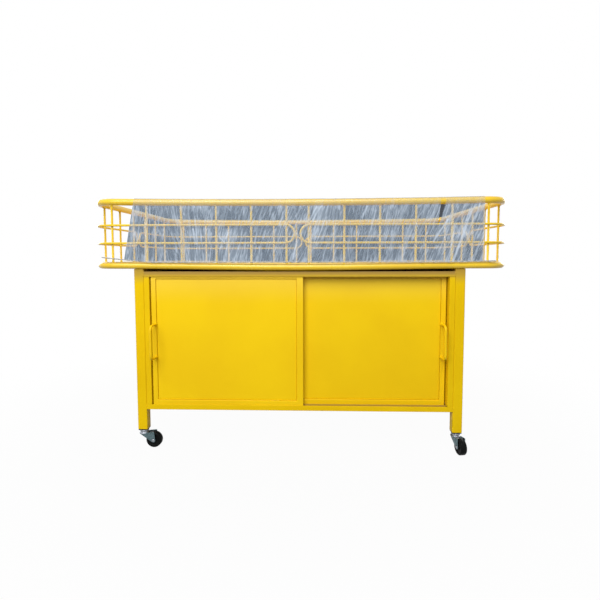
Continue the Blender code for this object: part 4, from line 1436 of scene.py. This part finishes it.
def handle_shape(node, doors):
    """A bent rod: out from the door, round a bend, along the grip and back, swelling at its two feet."""
    low, high = node_box(node)
    rod = doors.handle_rod / 2
    middle = (low + high) / 2
    half = (high[2] - low[2]) / 2 - rod
    bar = low[1] + rod
    foot = high[1]
    bend = doors.handle_bend
    upper = arc((bar + bend, half - bend), bend, 90, 180, BEND_STEPS)
    grip = np.linspace(upper[-1], upper[-1] * (1, -1), GRIP_STEPS)[1:-1]
    lower = arc((bar + bend, bend - half), bend, 180, 270, BEND_STEPS)
    # Four places along each foot, from the door out to where the rod has its own thickness
    swell = foot - np.array((0.0, 0.0012, 0.0026, 0.0042))
    flare = np.array((doors.handle_flare, 0.35 + 0.65 * doors.handle_flare, 1.08, 1.0))
    start = np.column_stack((swell, np.full(4, half)))
    end = np.column_stack((swell[::-1], np.full(4, -half)))
    route = np.concatenate((start, upper, grip, lower, end))
    size = np.ones(len(route))
    size[:4] = flare
    size[-4:] = flare[::-1]
    path = np.column_stack((np.full(len(route), middle[0]), route[:, 0], middle[2] + route[:, 1]))
    return swept(path, circle(rod, ROD_SIDES), (1.0, 0.0, 0.0), size=size)


class DISPLAYBIN_OT_doors(Operator):
    """Make the two sliding doors with their borders, panels, handles and glides"""

    bl_idname = "display_bin.doors"
    bl_label = "Doors"

    def execute(self, context):
        doors = settings(context, "doors")
        finishes = settings(context, "finishes")
        border_finish = enamel_material("door_enamel", finishes)
        sheet_finish = enamel_material("sheet_enamel", finishes)
        nylon = moulded_material("glide_nylon", finishes.nylon, finishes, 0.42)
        ripple = settings(context, "cabinet").ripple
        for name, side, seed in (("left_door", -1, 61), ("right_door", 1, 67)):
            frame_node, panel_node, handle_node = [name + end for end in ("_frame", "_panel", "_handle")]
            border = border_shape(frame_node, side, doors)
            make_piece(name + "_border", frame_node, [border], border_finish, body=name, flat=True)
            sheet = rippled_sheet(panel_node, 1, ripple, seed, doors.panel_roll)
            make_piece(name + "_sheet", panel_node, [sheet], sheet_finish, body=name)
            pull = handle_shape(handle_node, doors)
            make_piece(name + "_pull", handle_node, [pull], border_finish, body=name)
            for end in (name + "_outer", name + "_inner"):
                shoe = block_shape(end + "_glide", doors.border_round)
                make_piece(end + "_shoe", end + "_glide", [shoe], nylon, name, flat=True)
        return {"FINISHED"}


# Casters

# Turned profiles. Those of the collar and the race are shares of a radius and a height, the axle pin's dome
# is shares of its radius with heights, and the rivet head under the kingpin is radii with heights
COLLAR_PROFILE = ((0.80, 0.0), (0.93, 0.06), (1.0, 0.22), (1.0, 0.66), (0.95, 0.88), (0.82, 1.0))
RACE_PROFILE = ((0.30, 0.04), (0.90, 0.04), (0.98, 0.10), (1.0, 0.2), (1.0, 0.45), (0.95, 0.58),
                (0.84, 0.66), (0.80, 0.76), (0.80, 1.0), (0.30, 1.0))
PIN_DOME = ((0.16, 0.0020), (0.44, 0.0019), (0.76, 0.0014), (0.94, 0.0007), (1.0, 0.0))
KINGPIN = 0.004
RIVET_HEIGHT = 0.0020
RIVET_HEAD = ((0.0006, 0.0), (0.0035, 0.0002), (0.0055, 0.0009), (0.006, 0.0019), (KINGPIN, RIVET_HEIGHT))
RUNNING_GAP = 0.0003
HEAD_GAP = 0.0002
WHEEL_GAP = 0.0004
WHEEL_DISH = 0.002
MOULD_LINE = 0.0003
THREAD_DEPTH = 0.0005
THREAD_END = 0.0008


def fitted_profile(shares, radius, low, high):
    """A profile of shares, fitted to a radius and to two levels."""
    across, up = np.array(shares).T
    return np.stack((across * radius, low + up * (high - low)), axis=1)


def collar_shape(casters, node):
    """Stem, collar, kingpin and rivet head turned about the swivel axis. The collar is a bulged band."""
    foot, tip = (corner[2] for corner in node_box(node))
    leg = node_box("front_left_leg")[0][2]
    crown = node_box("front_left_fork")[1][2]
    low = crown + 0.03 * (crown - foot)
    high = leg - casters.plug_flange
    half_turn = np.arange(2 * int((tip - leg) / casters.thread_pitch) + 2)
    thread_radius = casters.stem / 2 - THREAD_DEPTH * (half_turn % 2)
    thread = np.stack((thread_radius, high + casters.thread_pitch * half_turn / 2), axis=1)
    profile = np.concatenate((
        np.array(RIVET_HEAD) + (0.0, foot),
        ((KINGPIN, low),),
        fitted_profile(COLLAR_PROFILE, casters.collar / 2, low, high),
        thread,
        ((casters.stem / 2 - THREAD_END, tip),),
    ))
    return turned(profile, COLLAR_STEPS)


def cheek_outline(casters, trail, axle, across, crown_low, crown_top):
    """A cheek from under the race to the eye round the axle: its top rises to a nose and its rear tapers."""
    depth = crown_top - crown_low
    reach = math.sqrt((casters.crown / 2) ** 2 - across ** 2)
    eye = arc((trail, axle), casters.fork_eye, 240, 350, BEND_STEPS)
    back = ((-reach, crown_low + 0.2 * depth), (-reach, crown_low))
    nose = ((trail + casters.fork_nose, crown_top - 0.15 * depth),)
    return np.concatenate((back, eye, nose))


def yoke_shapes(casters, trail, axle, crown_low, crown_top):
    """The fork in its own frame: a disc under the race and two cheeks with rounded edges."""
    disc_edge = 0.0004
    cheek_edge = 0.0006
    cheek_corner = 0.0015
    inner = casters.wheel_width / 2 + casters.fork_gap
    outer = inner + casters.fork_plate
    disc_top = crown_low + 0.3 * (crown_top - crown_low)
    shapes = [plate(circle(0.97 * casters.crown / 2, CROWN_STEPS), crown_low, disc_top, disc_edge)]
    cheek = cheek_outline(casters, trail, axle, outer, crown_low, crown_top)
    outline = rounded_outline(cheek, cheek_corner, 2)
    for low, high in ((-outer, -inner), (inner, outer)):
        shapes.append(tipped(plate(outline, low, high, cheek_edge)))
    return shapes


def race_shape(casters, crown_low, crown_top):
    """The swivel race round the kingpin: a bright bulged ring with a narrower neck under the collar."""
    profile = fitted_profile(RACE_PROFILE, casters.crown / 2, crown_low, crown_top)
    return turned(profile, CROWN_STEPS, joined=True)


def pin_shape(casters, reach):
    """The axle pin along Y: a plain shank with a domed head outside each cheek."""
    dome = np.array(PIN_DOME) * (casters.axle_head / 2, 1.0)
    upper = np.concatenate((dome + (0.0, reach), ((casters.axle / 2, reach),)))
    return tipped(turned(np.concatenate((upper * (1, -1), upper[::-1])), PIN_STEPS))


def wheel_shape(casters):
    """A turned wheel along Y: a round-shouldered tread with a mould line, dished sides and a raised hub."""
    half = casters.wheel_width / 2
    radius = casters.wheel / 2
    hub = casters.hub / 2
    shoulder = casters.tread_round
    bore = casters.axle / 2 + WHEEL_GAP
    dish = half - WHEEL_DISH
    rim_edge = radius - 2 * shoulder
    bevel = ((bore, half - 0.0003), (bore + 0.0004, half))
    hub_edge = ((hub - 0.0012, half), (hub - 0.0003, half - 0.0004), (hub, half - 0.0012))
    dished = ((hub + 0.0006, dish), (rim_edge - 0.001, dish))
    rim = ((rim_edge, half - 0.0010), (rim_edge + 0.0008, half - 0.0002))
    tread = arc((radius - shoulder, half - shoulder), shoulder, 90, 0, 8)
    line_foot = ((radius - MOULD_LINE / 2, 2 * MOULD_LINE),)
    upper = np.concatenate((bevel, hub_edge, dished, rim, tread, line_foot))
    line = ((radius, MOULD_LINE), (radius, -MOULD_LINE))
    profile = np.concatenate((upper, line, (upper * (1, -1))[::-1]))
    return tipped(turned(profile, joined=True))


def plug_shapes(casters, node, edge):
    """The square plug in a leg's open end and its flange under the leg, with a round bore for the stem."""
    low, high = node_box(node)
    middle = ((low + high) / 2)[:2]
    steps = 8
    outer = rounded_rectangle((high - low)[:2] / 2, 3 * edge, steps - 1, centre=middle)
    # The bore's points are counted from the one that lies nearest the outline's first
    first = len(outer) // 8 - steps // 2 - 3
    bore = np.roll(circle(casters.stem / 2 + RUNNING_GAP, len(outer)), first, axis=0) + middle
    leg_low, leg_high = node_box(node.replace("insert", "leg"))
    flange = rounded_rectangle((leg_high - leg_low)[:2] / 2 - 2 * edge, 3 * edge, steps - 1, centre=middle)
    return [hollow_tube(outer, bore, low[2], high[2], edge),
            hollow_tube(flange, bore, low[2] - casters.plug_flange, low[2], edge)]


class DISPLAYBIN_OT_casters(Operator):
    """Make the four swivel casters, each turned the way its joints say"""

    bl_idname = "display_bin.casters"
    bl_label = "Casters"

    def execute(self, context):
        casters = settings(context, "casters")
        finishes = settings(context, "finishes")
        edge = settings(context, "cabinet").edge_round
        bright = zinc_material("bright_zinc", tuple(finishes.bright_zinc), finishes, 0.36)
        # The forks' zinc is a copy of the plating darkened as painted shade
        shade_darkened = zinc_material("dull_zinc", tuple(finishes.dull_zinc), finishes, 0.3)
        rubber = moulded_material("tyre_rubber", finishes.rubber, finishes, 0.38)
        plastic = moulded_material("plug_plastic", finishes.plastic, finishes, 0.45)
        crown = (node_box("front_left_stem")[0][2] + RIVET_HEIGHT + RUNNING_GAP,
                 node_box("front_left_fork")[1][2])
        reach = casters.wheel_width / 2 + casters.fork_gap + casters.fork_plate + HEAD_GAP
        for name in CORNERS:
            swivel = np.array(JOINTS[name + "_swivel"]["pos_m"])
            roll = np.array(JOINTS[name + "_roll"]["pos_m"])
            trail = np.linalg.norm((roll - swivel)[:2])
            turn = math.atan2(roll[1] - swivel[1], roll[0] - swivel[0])
            under = (swivel[0], swivel[1], 0.0)
            caster = name + "_caster"
            plug = plug_shapes(casters, name + "_insert", edge)
            make_piece(name + "_plug", name + "_insert", plug, plastic, flat=True)
            collar = moved(collar_shape(casters, name + "_stem"), under)
            make_piece(name + "_collar", name + "_stem", [collar], bright)
            yoke = [moved(shape, under, turn) for shape in yoke_shapes(casters, trail, roll[2], *crown)]
            make_piece(name + "_yoke", name + "_fork", yoke, shade_darkened, caster)
            race = moved(race_shape(casters, *crown), under, turn)
            make_piece(name + "_race", name + "_fork", [race], bright, caster)
            pin = moved(pin_shape(casters, reach), roll, turn)
            make_piece(name + "_pin", name + "_axle", [pin], bright, caster)
            tyre = moved(wheel_shape(casters), roll, turn)
            make_piece(name + "_tyre", name + "_wheel", [tyre], rubber, name + "_roller")
        return {"FINISHED"}


# Stage

WHITE = (1.0, 1.0, 1.0)
STAGE_REACH = 14.0

# Each lamp's place, the point that it faces, its size and the setting of its power
LAMPS = {
    "overhead_lamp": ((-0.3, -2.0, 2.6), (0.0, -0.3, 0.5), (2.2, 1.4), "overhead_power"),
    "front_lamp": ((-0.9, -2.8, 1.7), (0.0, 0.0, 0.45), (2.0, 1.1), "front_power"),
    "left_lamp": ((-2.7, 1.9, 1.2), (0.0, 0.2, 0.4), (1.8, 1.3), "side_power"),
    "right_lamp": ((2.7, 1.9, 1.2), (0.0, 0.2, 0.4), (1.8, 1.3), "side_power"),
}


def shader_blend(tree, share, first, second):
    return add_node(tree, "ShaderNodeMixShader", {0: share, 1: first.outputs[0], 2: second.outputs[0]})


def seen_rays(tree, path):
    """1 for a ray from the camera, also by way of gloss or glass, and 0 for rays that only carry light."""
    seen = maths(tree, "MAXIMUM", path["Is Camera Ray"], path["Is Glossy Ray"])
    return maths(tree, "MAXIMUM", seen, path["Is Transmission Ray"])


def floor_material(stage):
    """A floor that is seen nearly white, keeps the bin's soft shadow near it and is clear from below.

    Behind the bin, a look through the film finds it as dim as the backdrop.
    """
    material, tree, shader = new_material("stage_floor")
    path = add_node(tree, "ShaderNodeLightPath").outputs
    place = object_coordinates(tree)
    away = add_node(tree, "ShaderNodeVectorMath", {0: place}, operation="LENGTH").outputs["Value"]
    far = ranged(tree, away, 0.5, 1.5, 0.97, 1.0)
    behind = maths(tree, "GREATER_THAN", axis_value(tree, place, "Y"), MIDDLE_Y)
    through = maths(tree, "MULTIPLY", behind, maths(tree, "GREATER_THAN", path["Transparent Depth"], 0.5))
    shade = mixed(tree, through, opaque(WHITE), opaque(stage.dim_wall))
    set_shader(tree, shader, Base_Color=opaque(stage.floor), Roughness=0.9, Specular_IOR_Level=0.1)
    white = add_node(tree, "ShaderNodeEmission", {"Color": shade, "Strength": 1.0})
    lit = shader_blend(tree, maths(tree, "MULTIPLY", seen_rays(tree, path), far), shader, white)
    below = add_node(tree, "ShaderNodeNewGeometry").outputs["Backfacing"]
    shown = shader_blend(tree, below, lit, add_node(tree, "ShaderNodeBsdfTransparent"))
    tree.links.new(shown.outputs[0], tree.nodes["Material Output"].inputs["Surface"])
    return material


def backdrop_material(stage):
    """A dim wall to look at through the film, and nothing to look at past it."""
    material, tree, shader = new_material("stage_backdrop")
    tree.nodes.remove(shader)
    depth = add_node(tree, "ShaderNodeLightPath").outputs["Transparent Depth"]
    wall = add_node(tree, "ShaderNodeEmission", {"Color": opaque(stage.dim_wall), "Strength": 1.0})
    clear = add_node(tree, "ShaderNodeBsdfTransparent")
    shown = shader_blend(tree, maths(tree, "GREATER_THAN", depth, 0.5), clear, wall)
    tree.links.new(shown.outputs[0], tree.nodes["Material Output"].inputs["Surface"])
    return material


def set_world(stage):
    """White where it is seen or reflected, and a plain soft light otherwise."""
    world = bpy.data.worlds.new("soft_room")
    bpy.context.scene.world = world
    world.use_nodes = True
    tree = world.node_tree
    seen = seen_rays(tree, add_node(tree, "ShaderNodeLightPath").outputs)
    shown = mixed(tree, seen, opaque(3 * [stage.ambient]), opaque(WHITE))
    feed(tree, tree.nodes["Background"].inputs["Color"], shown)


def add_stage_sheet(name, corners, finish):
    """A flat sheet of the stage through four corners."""
    mesh = bpy.data.meshes.new(name)
    mesh.from_pydata(corners, [], [(0, 1, 2, 3)])
    mesh.materials.append(finish)
    sheet = bpy.data.objects.new(name, mesh)
    bpy.context.scene.collection.objects.link(sheet)
    return sheet


def add_lamp(name, place, aim, size, power):
    """A soft rectangular lamp that faces a point."""
    lamp = bpy.data.lights.new(name, "AREA")
    lamp.shape = "RECTANGLE"
    lamp.size, lamp.size_y = size
    lamp.energy = power
    light = bpy.data.objects.new(name, lamp)
    bpy.context.scene.collection.objects.link(light)
    light.location = place
    light.rotation_euler = (light.location - Vector(aim)).to_track_quat("Z", "Y").to_euler()


class DISPLAYBIN_OT_stage(Operator):
    """Make the floor, the dim backdrop, the soft lamps and the camera"""

    bl_idname = "display_bin.stage"
    bl_label = "Stage"

    def execute(self, context):
        stage = settings(context, "stage")
        scene = context.scene
        scene.view_settings.view_transform = "Standard"
        far = STAGE_REACH
        ground = [(-far, -far, 0), (far, -far, 0), (far, far, 0), (-far, far, 0)]
        add_stage_sheet("stage_floor", ground, floor_material(stage))
        wall = [(-far, far, 0), (far, far, 0), (far, far, far), (-far, far, far)]
        backdrop = add_stage_sheet("stage_backdrop", wall, backdrop_material(stage))
        for ray in ("diffuse", "glossy", "transmission", "shadow"):
            setattr(backdrop, "visible_" + ray, False)
        set_world(stage)
        for name, (place, aim, size, setting) in LAMPS.items():
            add_lamp(name, place, aim, size, getattr(stage, setting))
        lens = bpy.data.cameras.new("photo_camera")
        lens.lens = stage.lens
        lens.sensor_width = 36.0
        lens.shift_y = stage.frame_shift
        camera = bpy.data.objects.new("photo_camera", lens)
        scene.collection.objects.link(camera)
        pitch, roll, yaw = stage.gaze
        turn = Matrix.Rotation(yaw, 4, "Z") @ Matrix.Rotation(math.pi / 2 + pitch, 4, "X")
        turn = turn @ Matrix.Rotation(roll, 4, "Z")
        camera.matrix_world = Matrix.Translation(stage.eye) @ turn
        scene.camera = camera
        return {"FINISHED"}


OPERATORS = (
    DISPLAYBIN_OT_rims,
    DISPLAYBIN_OT_wires,
    DISPLAYBIN_OT_basket_floor,
    DISPLAYBIN_OT_film,
    DISPLAYBIN_OT_legs,
    DISPLAYBIN_OT_tracks,
    DISPLAYBIN_OT_panels,
    DISPLAYBIN_OT_doors,
    DISPLAYBIN_OT_casters,
    DISPLAYBIN_OT_stage,
)


class DISPLAYBIN_PT_pieces(Panel):
    """The bin's pieces, in the order that they are made"""

    bl_idname = "DISPLAYBIN_PT_pieces"
    bl_label = "Display Bin"
    bl_space_type = "VIEW_3D"
    bl_region_type = "UI"
    bl_category = "Display Bin"

    def draw(self, context):
        for operator in OPERATORS:
            self.layout.operator(operator.bl_idname)


CLASSES = (*SETTINGS.values(), *OPERATORS, DISPLAYBIN_PT_pieces)


def register():
    for cls in CLASSES:
        bpy.utils.register_class(cls)
    for name, group in SETTINGS.items():
        setattr(bpy.types.Scene, "display_bin_" + name, PointerProperty(type=group))


def unregister():
    for name in SETTINGS:
        delattr(bpy.types.Scene, "display_bin_" + name)
    for cls in reversed(CLASSES):
        bpy.utils.unregister_class(cls)


def main():
    register()
    bpy.ops.display_bin.rims()
    bpy.ops.display_bin.wires()
    bpy.ops.display_bin.basket_floor()
    bpy.ops.display_bin.film()
    bpy.ops.display_bin.legs()
    bpy.ops.display_bin.tracks()
    bpy.ops.display_bin.panels()
    bpy.ops.display_bin.doors()
    bpy.ops.display_bin.casters()
    bpy.ops.display_bin.stage()


if __name__ == "__main__":
    main()
